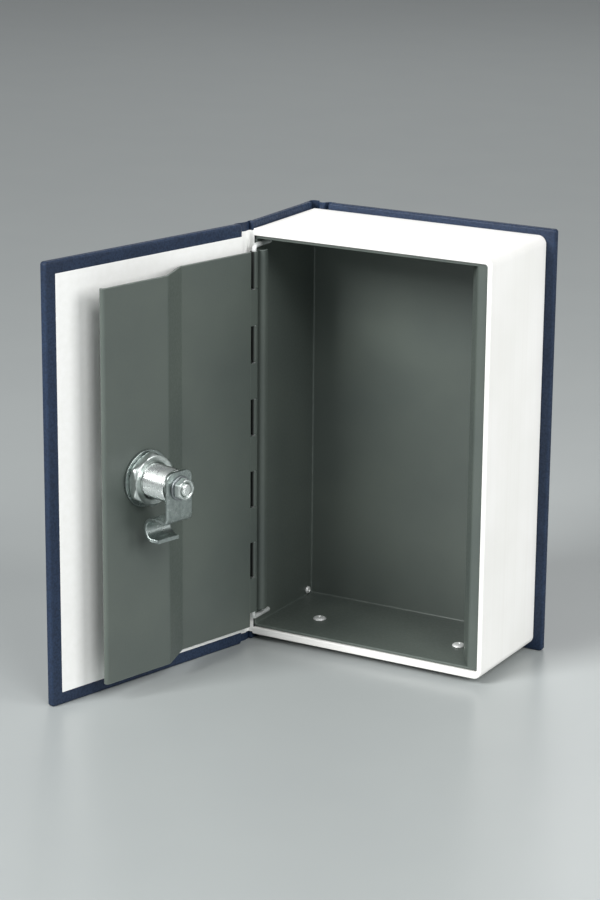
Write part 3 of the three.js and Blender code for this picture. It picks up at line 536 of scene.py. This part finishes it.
def bright_zinc(name, base, spot_colour, least, most):
    """Pressed steel, zinc plated and passivated: grey-white with a cold cast, die lines about 0.4 mm apart
    and duller spots."""
    material, tree, _, spots, lines = begun(name, (1.8, 4, 0.6), (0.4, 2, 0.5, (1.0, 1.0, 0.08)))
    layers = [(add(tree, "MapRange", [spots, 0.35, 0.65]), spot_colour)]
    gloss = add(tree, "MapRange", [spots, 0.3, 0.7, least, most])
    relief = add(tree, "Bump", {"Height": lines, "Distance": 0.012 * MM})
    return finished(material, base, layers, {"Roughness": gloss, "Normal": relief, "Metallic": 1.0})


def turned_brass():
    """Free-cutting brass, turned and left bare: warm yellow, with tool marks about 0.3 mm apart and a
    brown bloom."""
    material, tree, _, marks, bloom = begun("turned_brass", (0.3, 2, 0.5, (0.3, 1.0, 0.3)), (2.5, 3, 0.5))
    layers = [(add(tree, "MapRange", [bloom, 0.4, 0.7]), "#9c7f43")]
    gloss = add(tree, "MapRange", [bloom, 0.3, 0.7, 0.24, 0.42])
    relief = add(tree, "Bump", {"Height": marks, "Distance": 0.01 * MM})
    return finished(material, "#cfae5f", layers, {"Roughness": gloss, "Normal": relief, "Metallic": 1.0})


def drawn_spring_wire():
    """Hard-drawn spring steel: grey, with draw lines and the even gloss of a thin oil film."""
    material, tree, _, lines = begun("drawn_spring_wire", (0.2, 2, 0.5))
    layers = [(add(tree, "MapRange", [lines, 0.35, 0.65]), "#84898c")]
    relief = add(tree, "Bump", {"Height": lines, "Distance": 0.006 * MM})
    return finished(material, "#a7abad", layers, {"Roughness": 0.33, "Normal": relief, "Metallic": 1.0})


def pale_laminate():
    """The studio's table: pale laminate, faintly clouded, with a soft gloss."""
    material, _, _, cloud = begun("pale_laminate", (60, 2, 0.5))
    return finished(material, "#a5aaaa", [(cloud, "#aaafae")], {"Roughness": 0.3})


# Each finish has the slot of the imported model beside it
DOOR_PAINT = powder_coated_steel("powder_coated_steel_door", False), "grey_paint"
BOX_PAINT = powder_coated_steel("powder_coated_steel_box", True), "grey_paint"
PAGE_PLASTIC = moulded_page_block(), "page_plastic"
NAVY = navy_leatherette(), "navy_cloth"
PAPER = liner_paper(), "white_paper"
BOARD = grey_board(), "board_card"
FOAM = foam_tape(), "white_foam"
NICKEL = nickel_plate("bright_nickel", "#eef2f0", "#e1e6e3", 0.22, 0.34, 1.0), "bright_plate"
BRIGHT_WIRE = nickel_plate("satin_nickel", "#fbfcfb", "#f1f4f2", 0.5, 0.62, 0.6), "bright_plate"
ZINC = bright_zinc("bright_zinc", "#d3dad7", "#bcc4c1", 0.3, 0.44), "zinc_plate"
WORN_ZINC = bright_zinc("worn_zinc", "#abb4b1", "#8f9896", 0.22, 0.42), "zinc_plate"
BRASS = turned_brass()
SPRING = drawn_spring_wire(), "spring_steel"


# Making pieces

def opened(points):
    """Points of the shut cover, turned open about the hinge pin: the first two coordinates turn by the
    opening angle, clockwise from above."""
    out = np.array(points, float)
    x, y = out[..., 0] - AXIS_X, out[..., 1] - AXIS_Y
    c, s = math.cos(OPEN_ANGLE), math.sin(OPEN_ANGLE)
    out[..., 0], out[..., 1] = AXIS_X + c * x + s * y, AXIS_Y - s * x + c * y
    return out


def placed(points, body="root"):
    """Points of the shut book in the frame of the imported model, in metres. What the cover carries turns
    open first."""
    return ((opened(points) if body in BODIES_ON_COVER else np.array(points, float)) + BLOCK_CORNER) * MM


def in_scene(name, data):
    """A new object with its data, in the scene."""
    made = bpy.data.objects.new(name, data)
    bpy.context.scene.collection.objects.link(made)
    return made


def piece(name, node, surfaces, finish, body="root"):
    """One object made of closed surfaces, with its finish and its body; the imported node that it stands for
    is hidden.
    """
    points, faces, edge_wear_and_highlight, start = [], [], [], 0
    for p, f, w in surfaces:
        points.append(p)
        faces += [[i + start for i in face] for face in f]
        edge_wear_and_highlight.append(w)
        start += len(p)
    mesh = bpy.data.meshes.new(name)
    mesh.from_pydata(placed(np.concatenate(points), body).tolist(), [], faces)
    mesh.update()
    # This attribute marks rounded edges, which the finishes paint paler: rubbing, and a painted highlight.
    mesh.attributes.new("edge_wear_and_highlight", "FLOAT", "POINT").data.foreach_set(
        "value", np.concatenate(edge_wear_and_highlight).astype(np.float32))
    mesh.polygons.foreach_set("use_smooth", np.ones(len(mesh.polygons), bool))
    mesh.set_sharp_from_angle(angle=math.radians(38))
    material, slot = finish
    mesh.materials.append(material)
    made = in_scene(name, mesh)
    if body:
        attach(made, body)
    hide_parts(node)
    return made


def bore(target, centres, radius, low, high, axis="z", body="root"):
    """Round holes through a piece from one level to another, cut with a plain cylinder at each centre."""
    profile = [[0.01, low], [radius, low], [radius, high], [0.01, high]]
    for centre in centres:
        points, faces, _ = turned(profile, centre, axis, 32, False)
        cutter_mesh = bpy.data.meshes.new("cutter")
        cutter_mesh.from_pydata(placed(points, body).tolist(), [], faces)
        cutter = in_scene("cutter", cutter_mesh)
        cut = target.modifiers.new("hole", "BOOLEAN")
        cut.operation, cut.object, cut.solver = "DIFFERENCE", cutter, "EXACT"
        bpy.context.view_layer.update()
        done = bpy.data.meshes.new_from_object(target.evaluated_get(bpy.context.evaluated_depsgraph_get()))
        target.modifiers.clear()
        target.data = done
        bpy.data.objects.remove(cutter)
    done.name = target.name


def make_page_block():
    """White U of head, fore-edge and foot: its outline in X and Z, carried through the book's depth. The
    shanks of the floor's rivets end in holes in its foot."""
    w, h, t = PAGE_WIDTH, PAGE_HEIGHT, PAGE_END_WALL
    inner, end_round, inner_round = w - PAGE_FORE_WALL, 0.7, 1.2
    radii = [end_round, PAGE_CORNER, PAGE_CORNER, end_round, end_round, inner_round, inner_round, end_round]
    corners = [[0, 0], [w, 0], [w, h], [0, h], [0, h - t], [inner, h - t], [inner, t], [0, t]]
    outline = rounded(corners, radii, 10)
    block = piece("page_block", "page_shell", [bar(outline, 0, PAGE_DEPTH, 0.45, "y")], PAGE_PLASTIC)
    bore(block, FLOOR_RIVETS.values(), RIVET_SHANK + 0.2, -1.5, PAGE_END_WALL + 1)


def box_walls():
    """The box's five walls as one surface: rounded rectangles, inset along a profile that runs from the
    middle of the back over the outside, round the front rim and down the inside."""
    t, back, outer_round, inner_round, past_round, middle = STEEL, PAGE_DEPTH, 1.5, 0.6, 0.4, 20
    wall_corner, least_corner = 1.6, 0.5
    a = np.linspace(0, math.pi / 2, 6)
    quarter = np.stack([1 - np.cos(a), np.sin(a) - 1], 1)
    rim = np.array([[0.3, 0], [0.12, 0.06], [0, 0.3], [0, 0.6]])
    profile = np.concatenate([
        [[middle, back], [outer_round + past_round, back]],
        [0, back] + outer_round * quarter[::-1],
        [[0, back - outer_round - past_round]],
        [0, BOX_FRONT] + rim[::-1],
        [t, BOX_FRONT] + rim * [-1, 1],
        [[t, back - t - inner_round - past_round]],
        [t, back - t] + inner_round * quarter,
        [[t + inner_round + past_round, back - t], [middle, back - t]]])
    rings = []
    for depth, y in profile:
        corner = max(wall_corner - depth, least_corner)
        loop = held(rectangle(depth, BOX_RIGHT - depth, BOX_FOOT + depth, BOX_HEAD - depth, corner, 5), 0.4)
        rings.append(laid_along("y", loop[:, 0], loop[:, 1], y))
    return skin(rings, curvature(profile)[:, None] * 0.8)


def knuckles(first, lead, start_degrees, end_degrees):
    """The hinge's spans from the first one on, every second one. Each is a sheet that follows the lead and
    then an arc of the knuckle's radius round the pin, between two angles."""
    a = np.radians(np.linspace(start_degrees, end_degrees, 30))
    arc = np.stack([AXIS_X + KNUCKLE_PATH_RADIUS * np.cos(a), AXIS_Y + KNUCKLE_PATH_RADIUS * np.sin(a)], 1)
    outline = sheet(np.concatenate([lead, arc]), KNUCKLE_SHEET, 0.22)
    pitch, half_gap = (KNUCKLE_HEAD - KNUCKLE_FOOT) / KNUCKLES, KNUCKLE_GAP / 2
    feet = KNUCKLE_FOOT + pitch * np.arange(first, KNUCKLES, 2)
    return [bar(outline, foot + half_gap, foot + pitch - half_gap, 0.12, gap=0.06) for foot in feet]


def make_steel_box():
    """Folded box: its walls, the wide flange with the catch lip folded behind it, the narrow flange beside
    the hinge, and the knuckles, all of bent sheet."""
    middle, side, flange_edge = BOX_FRONT + STEEL / 2, BOX_RIGHT - STEEL / 2, BOX_RIGHT - FORE_FLANGE
    lip = folded([[side, middle + 2.5], [side, middle], [flange_edge, middle],
                  [flange_edge - LIP_LEAN, BOX_FRONT + LIP_DEPTH]], [0, 0.7, 1.4, 0], 6, STEEL)
    fore_flange = bar(lip, BOX_FOOT + 0.35, BOX_HEAD - 0.35, 0.3)
    hem_x = HINGE_FLANGE - STEEL / 2
    hem = folded([[0.3, middle], [hem_x, middle], [hem_x, middle + HINGE_RETURN]], [0, 2.2, 0], 10, STEEL)
    hinge_flange = bar(hem, KNUCKLE_FOOT, KNUCKLE_HEAD, 0.3)
    lead_x, beside_pin = 0.45, [AXIS_X - KNUCKLE_PATH_RADIUS, AXIS_Y + 0.8]
    lead = rounded([[lead_x, 6.0], [lead_x, 1.6], beside_pin], [0, 2, 0], 6, False)
    surfaces = [box_walls(), fore_flange, hinge_flange, *knuckles(1, lead, 182, 470)]
    piece("steel_box_body", "steel_box", surfaces, BOX_PAINT)


def make_door():
    """Door: one sheet, low beside the hinge and stepped up to a plateau whose edge is bent back, with its
    rolled knuckles."""
    edge, edge_return = DOOR_EDGE - DOOR_SHEET / 2, 1.5
    path = [[4.9, DOOR_LOW_Y], [DOOR_LOW_END, DOOR_LOW_Y], [PLATEAU_START, DOOR_HIGH_Y], [edge, DOOR_HIGH_Y],
            [edge, DOOR_HIGH_Y - edge_return]]
    leaf = folded(path, [0, 2.2, 2.2, 0.7, 0], 9, DOOR_SHEET)
    lead_y, over_pin = DOOR_LOW_Y - 0.1, [AXIS_X + 0.3, AXIS_Y + KNUCKLE_PATH_RADIUS]
    lead = rounded([[7.0, lead_y], [3.2, lead_y], over_pin], [0, 1, 0], 4, False)
    surfaces = [bar(leaf, DOOR_FOOT, DOOR_HEAD, 0.28), *knuckles(0, lead, 92, 378)]
    piece("door_leaf", "door", surfaces, DOOR_PAINT, "cover")


def make_hinge_pin():
    """Bright wire through the knuckles, both ends bent over into the box."""
    end = AXIS_Y + PIN_LEG
    path = rounded([[end, PIN_FOOT], [AXIS_Y, PIN_FOOT], [AXIS_Y, PIN_HEAD], [end, PIN_HEAD]],
                   [0, PIN_BEND, PIN_BEND, 0], 9, False)
    route = np.column_stack([np.full(len(path), AXIS_X), path])
    piece("hinge_wire", "hinge_pin", [wire(route, PIN_RADIUS)], BRIGHT_WIRE)


def blind_rivet(head, length, centre, axis, seat):
    """A domed head 1.1 high on its seat, with the sunk end of the mandrel in it, and a shank below."""
    mandrel, rim, edge = 0.62, 0.1, 0.2
    a = np.linspace(0, math.pi / 2, 12)
    dome = np.stack([mandrel + (head - mandrel) * np.cos(a), rim + np.sin(a)], 1)
    profile = np.array([[0.05, -length], [RIVET_SHANK - edge, -length], [RIVET_SHANK, edge - length],
                        [RIVET_SHANK, 0], [head - edge, 0], *dome.tolist(),
                        [mandrel - 0.06, 1.0], [mandrel - 0.1, 0.7], [0.3, 0.75], [0.05, 0.77]])
    return turned(profile + [0, seat], centre, axis, 40, False, 0.08)


def make_rivets():
    """Two rivets through the floor of the box and one through its spine wall."""
    off_wall = 0.02
    for side, centre in FLOOR_RIVETS.items():
        rivet = blind_rivet(2.8, 3.7, centre, "z", BOX_FLOOR + off_wall)
        piece(f"rivet_floor_{side}", f"floor_rivet_{side}", [rivet], BRIGHT_WIRE)
    rivet = blind_rivet(1.7, 3.0, SPINE_RIVET, "x", STEEL + off_wall)
    piece("rivet_spine", "spine_rivet", [rivet], BRIGHT_WIRE)


def cover_outline(start, margin, corner, steps):
    """A rectangle as large as a cover less a margin on three sides, from a start beside the joint."""
    return rectangle(start, COVER_EDGE - margin, COVER_FOOT + margin, COVER_HEAD - margin, corner, steps)


def make_front_cover():
    """Board wrapped in leatherette: one slab with rounded edges, turned in round a white liner that is
    pasted over the turn-ins."""
    slab = bar(cover_outline(JOINT, 0, 1.3, 6), FRONT_OUTSIDE, FRONT_INSIDE - 0.06, 0.85, "y", 0.3, 6)
    piece("front_case", "front_cloth", [slab], NAVY, "cover")
    outline = cover_outline(JOINT + 0.1, TURN_IN, 0.3, 3)
    liner = bar(outline, FRONT_INSIDE - 0.4, FRONT_INSIDE + 0.02, 0.08, "y")
    piece("front_endpaper", "front_liner", [liner], PAPER, "cover")


def make_back_case():
    """Spine, back joint and back cover in one sheet of leatherette. The two boards are slabs with rounded
    edges, and the joint is a curved sheet that dips into a groove between them. Its ends lie just under the
    slabs' faces."""
    back = bar(cover_outline(JOINT - 0.4, 0, 1.3, 6), BACK_INSIDE, BACK_OUTSIDE, 0.85, "y", 0.3, 6)
    spine = bar(rectangle(SPINE_OUTSIDE, SPINE_INSIDE, SPINE_FRONT, SPINE_BACK, 0.95, 6),
                COVER_FOOT, COVER_HEAD, 0.7, "z", 0.2, 6)
    cloth, under, end_gap = 0.4, 0.12, 0.05
    x, y, groove = SPINE_OUTSIDE + cloth / 2, BACK_OUTSIDE - cloth / 2, BACK_INSIDE + 0.35
    outline = folded([[x + under, SPINE_BACK - 3], [x, y], [1.0, y], [2.4, groove], [4.6, groove], [5.9, y],
                      [9.0, y - under]], [0, 1.5, 0.9, 1.2, 1.2, 0.9, 0], 8, cloth, 0.16)
    joint = bar(outline, COVER_FOOT + end_gap, COVER_HEAD - end_gap, 0.1, "z", 0.04)
    piece("back_case", "back_cloth", [back, spine, joint], NAVY)
    liner = bar(cover_outline(JOINT, TURN_IN, 0.3, 3), BACK_INSIDE - 0.05, BACK_INSIDE + 0.3, 0.08, "y")
    piece("back_endpaper", "back_liner", [liner], PAPER)


def joint_strip(lead, start, offset, thickness, shorter):
    """Flexible strip from the spine to the open cover, so far inside the outer faces. It lies along the
    lead, bends on a cubic curve with equal pulls from the start to the cover's edge, drawn in a little
    towards the pin by sin^2, and laps inside the cover."""
    lap, pull, draw, ease = 1.2, 2.4, 0.55, 0.04
    start = np.array(start)
    shut_end = np.array([JOINT + 0.3, FRONT_OUTSIDE + offset])
    end, last = opened(shut_end), opened(shut_end + [lap, 0])
    t = np.linspace(0, 1, 25)[:, None]
    curve = ((1 - t) ** 3 * start + 3 * (1 - t) ** 2 * t * (start + [0, -pull])
             + 3 * (1 - t) * t ** 2 * (end + unit(end - last) * pull) + t ** 3 * end)
    curve = curve + np.sin(math.pi * t) ** 2 * draw * unit([AXIS_X, AXIS_Y] - curve.mean(0))
    loop = sheet(np.concatenate([lead, curve, last[None]]), thickness, 0.05)
    foot, head = COVER_FOOT + shorter, COVER_HEAD - shorter
    levels = [foot, foot + ease, *np.linspace(foot, head, 40)[1:-1], head - ease, head]
    rings = [laid_along("z", *inset(loop, ease if z in (foot, head) else 0).T, z) for z in levels]
    return skin(rings), start, end


def make_front_joint():
    """Leatherette outside and paper inside, both bending from the spine to the cover."""
    cloth_depth, paper_depth, mid_height = 0.22, 0.75, 80.0
    cloth_x, paper_x = SPINE_OUTSIDE + cloth_depth, SPINE_OUTSIDE + paper_depth
    paper_lead = rounded([[0.5, 0.25], [-1.6, 0.25], [paper_x, -0.2]], [0, 0.6, 0], 4, False)
    for name, node, finish, strip in (
            ("front_joint_cloth", "joint_cloth", NAVY,
             joint_strip([[cloth_x, SPINE_FRONT + 1.7]], [cloth_x, SPINE_FRONT + 0.5], cloth_depth, 0.4, 0)),
            ("front_joint_lining", "joint_lining", PAPER,
             joint_strip(paper_lead, [paper_x, -0.5], paper_depth, 0.3, TURN_IN - 1.5))):
        surface, start, end = strip
        cloth = piece(name, node, [surface], finish, None)
        place = [tuple(placed([*point, mid_height])) for point in (start, end)]
        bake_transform(cloth)


def make_foam():
    """Two strips of foam mounting tape between the front board and the door's low leaf. Their sides are drawn
    in towards both faces by 0.25 of the square of the height."""
    width, end_gap, side_gap, half_thick, draw = 10, 10.7, 4.5, 0.88, 0.25
    middle = (FRONT_INSIDE + DOOR_LOW_Y - DOOR_SHEET / 2) / 2
    rise = np.linspace(-1, 1, 9)
    for name, x in (("outer", DOOR_LOW_END - side_gap - width), ("inner", JOINT + side_gap)):
        right = np.stack([x + width - draw * rise ** 2, middle + half_thick * rise], 1)
        left = np.stack([x + draw * rise ** 2, middle + half_thick * rise], 1)[::-1]
        strip = bar(np.concatenate([right, left]), DOOR_FOOT + end_gap, DOOR_HEAD - end_gap, 0.2)
        piece(f"foam_tape_{name}", f"foam_strip_{name}", [strip], FOAM, "cover")


def make_lock_housing():
    """Die-cast housing: bezel outside the cover, threaded barrel with its bore, and the rim at its end that
    stops the turn at a quarter."""
    rim_radius, crown, well, well_floor = BARREL_RADIUS + 3.0, BEZEL_FACE + 0.9, 6.3, BEZEL_FACE + 1.5
    section = rounded([[well, BEZEL_FACE + 0.25], [6.9, BEZEL_FACE], [9.0, BEZEL_FACE], [rim_radius, crown],
                       [rim_radius, BEZEL_BACK], [BARREL_BORE, BEZEL_BACK], [BARREL_BORE, well_floor],
                       [well, well_floor]], [0.2, 0.4, 0.6, 0.5, 0.1, 0, 0, 0.1], 5)
    bezel = turned(section, (LOCK_X, LOCK_Z), sides=96)
    sides, start, end = 72, BEZEL_BACK - 0.2, BARREL_END + 0.01
    thread = thread_rings(BARREL_RADIUS, 0.32, 1.0, start, BARREL_END, sides)
    inside = [about_lock(radius, level, full_turn(sides)) for radius, level in (
        (6.4, end), (5.5, end), (BARREL_BORE, BARREL_END - 0.25), (BARREL_BORE, start))]
    barrel = skin(np.concatenate([thread, inside]), closed=True)
    loop = held(rectangle(5.9, 6.9, BARREL_END - 0.2, BARREL_END + 0.9, 0.15, 3), 0.1)
    stop_rim = skin(about_lock(loop[:, 0], loop[:, 1], np.radians(np.linspace(11, 259, 60))[:, None]))
    piece("lock_barrel", "lock_housing", [bezel, barrel, stop_rim], NICKEL, "cover")


def make_lock_plug():
    """Plug: its face with the keyway sunk into it, the round body, the square drive and the threaded
    stud. The rings run out of the keyway, over the face and back along the plug."""
    a, face, stud_sides = full_turn(96), BEZEL_FACE, 48
    key_half_width, key_half_height, head, body, drive_half = 1.0, 3.3, 6.1, 5.0, 3.1
    keyway = np.minimum(key_half_width / np.maximum(np.abs(np.cos(a)), TINY),
                        key_half_height / np.maximum(np.abs(np.sin(a)), TINY))
    plug = skin([about_lock(radius, level, a) for radius, level in (
        (keyway, face + 9), (keyway, face + 0.3), (keyway + 0.15, face + 0.05), (keyway + 0.3, face),
        (np.maximum(keyway + 0.3, 4.6), face - 0.02), (head - 0.5, face), (head - 0.2, face + 0.08),
        (head, face + 0.4), (head, face + 1.2), (body, face + 1.2), (body, BARREL_END), (3.8, BARREL_END))])
    square = rectangle(-drive_half, drive_half, -drive_half, drive_half, 0.5) + [LOCK_X, LOCK_Z]
    drive = bar(square, 20, CAM_BACK, 0.2, "y")
    thread = thread_rings(2.5, 0.2, 0.6, CAM_BACK - 0.5, CAM_BACK + 4.15, stud_sides)
    tip = [about_lock(radius, CAM_BACK + rise, full_turn(stud_sides)) for radius, rise in (
        (2.2, 4.22), (1.7, 4.3), (0.4, 4.3))]
    surfaces = [plug, drive, skin(np.concatenate([thread, tip]))]
    piece("plug_and_stud", "lock_plug", surfaces, NICKEL, "lock_core")


def make_lock_fixings():
    """Washer and nut that clamp the housing to the door, and the stop washer, cam, spring washer and nut
    at the end of the plug."""
    centre, stop_start = (LOCK_X, LOCK_Z), BARREL_END + 0.15
    washer = rectangle(BARREL_RADIUS + 0.3, 11.6, PLATEAU_FACE + 0.1, PLATEAU_FACE + 1.15, 0.2, 4)
    piece("clamp_washer", "lock_washer", [turned(washer, centre, sides=72)], WORN_ZINC, "cover")
    clamp = hex_nut(20, BARREL_RADIUS + 0.25, PLATEAU_FACE + 1.25, PLATEAU_FACE + 5.5, 1.5, 0.5)
    piece("clamp_nut", "lock_nut", [clamp], ZINC, "cover")
    stop = turned(rectangle(4.4, 5.4, stop_start, stop_start + 0.8, 0.12, 3), centre)
    tab = bar(rectangle(LOCK_X - 0.6, LOCK_X + 0.6, LOCK_Z - 6.8, LOCK_Z - 4.8, 0.2),
              stop_start, stop_start + 0.75, 0.1, "y", 0.06)
    piece("stop_ring", "stop_washer", [stop, tab], ZINC, "lock_core")
    make_cam()
    spring = turned(rectangle(2.7, 5.0, CAM_BACK + 0.05, CAM_BACK + 0.9, 0.2, 4), centre)
    piece("spring_washer", "cam_washer", [spring], SPRING, "lock_core")
    nut = hex_nut(8, 2.65, CAM_BACK + 0.95, CAM_BACK + 3.9, 0.8, 0.6)
    piece("stud_nut", "cam_nut", [nut], ZINC, "lock_core")


def make_cam():
    """Pressed cam: a flat with rounded upper corners over the plug, bent back towards the door and curled
    into a hook. A corner of radius q at distance d from the end is q - sqrt(q^2 - (q - d)^2) in from the
    side, where the rings crowd together, and the plate narrows a little at the hook's lip."""
    width, corner, rise, fall, hook_radius, standoff, lip = 13.3, 3.0, 6.7, 13.9, 4.4, 5.6, 2.2
    flat = CAM_FRONT + CAM_SHEET / 2
    centre_y = PLATEAU_FACE + standoff + CAM_SHEET / 2 + hook_radius
    a = np.linspace(math.pi, 2 * math.pi, 25)
    hook = np.stack([centre_y + hook_radius * np.sin(a), LOCK_Z - fall - hook_radius * (1 + np.cos(a))], 1)
    arm = rounded([[flat, LOCK_Z], [flat, LOCK_Z - fall], hook[0].tolist()], [0, 2.4, 0], 9, False)
    down = 5.4 * np.linspace(0, 1, 14) ** 1.7
    top = np.stack([np.full(len(down), flat), LOCK_Z + rise - down], 1)
    path = np.concatenate([top, arm[:-1], hook, hook[-1:] + [[lip, 0]]])
    inward = np.maximum(corner - (LOCK_Z + rise - path[:, 1]), 0)
    widths = width - 2 * corner + 2 * np.sqrt(np.maximum(corner ** 2 - inward ** 2, 0.05))
    widths[-6:] -= np.linspace(0, 1.6, 6) ** 1.5
    piece("hooked_cam", "cam", [band(path, widths, CAM_SHEET, 0.32)], WORN_ZINC, "lock_core")


def make_boards():
    """The three boards inside the leatherette, their edges eased, the front one bored for the barrel."""
    wrap, hole = 0.6, BARREL_RADIUS + 0.4
    outline = cover_outline(JOINT + wrap, wrap, 1.2, 5)
    front = bar(outline, FRONT_OUTSIDE + 0.5, FRONT_INSIDE - 0.5, 0.3, "y")
    front_board = piece("board_front", "front_board", [front], BOARD, "cover")
    bore(front_board, [(LOCK_X, LOCK_Z)], hole, FRONT_OUTSIDE - 1, FRONT_INSIDE + 1, "y", "cover")
    back = bar(outline, BACK_INSIDE + 0.45, BACK_OUTSIDE - 0.5, 0.3, "y")
    piece("board_back", "back_board", [back], BOARD)
    spine = rectangle(SPINE_OUTSIDE + 0.5, SPINE_INSIDE - 0.3, SPINE_FRONT + 0.4, SPINE_BACK - 0.4, 0.6, 5)
    piece("board_spine", "spine_board", [bar(spine, COVER_FOOT + wrap, COVER_HEAD - wrap, 0.3)], BOARD)


def make_wafer_springs():
    """A coil spring beside each wafer, wound here at one height. In the lock it flattens towards its head as
    the wafer slides in by 0.7 mm, from a height of 3.9 mm to 3.2 mm."""
    beside, shorter_share = 3.6, 0.82
    for i in range(WAFERS):
        x, y = LOCK_X + beside, WAFER_FIRST + i * WAFER_PITCH
        wound = coil(x, y, LOCK_Z - 1.83, LOCK_Z + 1.91)
        spring = piece(f"wafer_coil_{i + 1}", f"wafer_spring_{i + 1}", [wound], SPRING, "lock_core")
        anchor = tuple(map(float, placed([x, y, LOCK_Z + 2.0], "lock_core")))
        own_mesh(spring)


def dress_wafers():
    """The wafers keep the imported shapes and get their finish."""
    for i in range(1, WAFERS + 1):
        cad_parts[f"wafer_{i}"].data.materials.clear()
        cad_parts[f"wafer_{i}"].data.materials.append(BRASS)


# Studio, in metres

def make_floor():
    """A wide pale table under the book."""
    reach = 6
    mesh = bpy.data.meshes.new("table")
    corners = [(-reach, -reach, 0), (reach, -reach, 0), (reach, reach, 0), (-reach, reach, 0)]
    mesh.from_pydata(corners, [], [(0, 1, 2, 3)])
    mesh.materials.append(pale_laminate())
    in_scene("table", mesh)


def make_lamp(name, place, aim_height, size, power):
    """A square white soft box at a place, turned to a point over the middle of the floor."""
    data = bpy.data.lights.new(name, "AREA")
    data.shape, data.size, data.energy = "SQUARE", size, power
    z = unit(np.array(place) - [0, 0, aim_height])
    x = unit(np.cross([0, 0, 1.0], z))
    turn = Matrix(np.stack([x, np.cross(z, x), z], 1).tolist()).to_4x4()
    in_scene(name, data).matrix_world = Matrix.Translation(place) @ turn


def make_studio():
    """Pale surroundings, brighter to the camera and in gloss, and four soft boxes."""
    make_floor()
    world = bpy.data.worlds.new("studio")
    bpy.context.scene.world = world
    world.use_nodes = True
    tree = world.node_tree
    tree.nodes.clear()
    rays = [add(tree, "LightPath", {}, kind) for kind in ("Is Camera Ray", "Is Glossy Ray")]
    seen = add(tree, "Math", rays, operation="MAXIMUM")
    soft = add(tree, "Background", {"Color": "#e9ecee", "Strength": 0.3})
    pale = add(tree, "Background", {"Color": "#c4c7c9", "Strength": 0.5})
    add(tree, "OutputWorld", {"Surface": add(tree, "MixShader", [seen, soft, pale])})
    make_lamp("key", (-0.55, -1.3, 1.02), 0.08, 0.7, 33)
    make_lamp("side", (1.6, 0.1, 0.7), 0.09, 0.8, 13)
    make_lamp("high", (1.35, -1.0, 1.5), 0.09, 0.8, 16.5)
    make_lamp("back", (-0.7, 1.6, 1.1), 0.09, 0.8, 4)


def make_camera():
    """The photograph's view: a long lens from the right and above, from corners measured in the picture."""
    place, lens, sensor_width, nearest = (0.52391, -0.92299, 0.40636), 110.687, 36.0, 0.01
    yaw, pitch, roll = (math.radians(v) for v in (-29.6835, 16.2635, 0.474))
    forward = np.array([math.sin(yaw) * math.cos(pitch), math.cos(yaw) * math.cos(pitch), -math.sin(pitch)])
    right = np.array([math.cos(yaw), -math.sin(yaw), 0.0])
    up = np.cross(right, forward)
    x = math.cos(roll) * right + math.sin(roll) * up
    y = math.cos(roll) * up - math.sin(roll) * right
    data = bpy.data.cameras.new("camera")
    data.sensor_width, data.lens, data.clip_start = sensor_width, lens, nearest
    camera = in_scene("camera", data)
    camera.matrix_world = Matrix.Translation(place) @ Matrix(np.stack([x, y, -forward], 1).tolist()).to_4x4()
    bpy.context.scene.camera = camera


make_camera()
make_page_block()
make_steel_box()
make_hinge_pin()
make_rivets()
make_back_case()
make_front_joint()
make_front_cover()
make_door()
make_foam()
make_boards()
make_lock_housing()
make_lock_plug()
make_lock_fixings()
make_wafer_springs()
dress_wafers()
make_studio()
bpy.context.scene.view_settings.view_transform = "Standard"
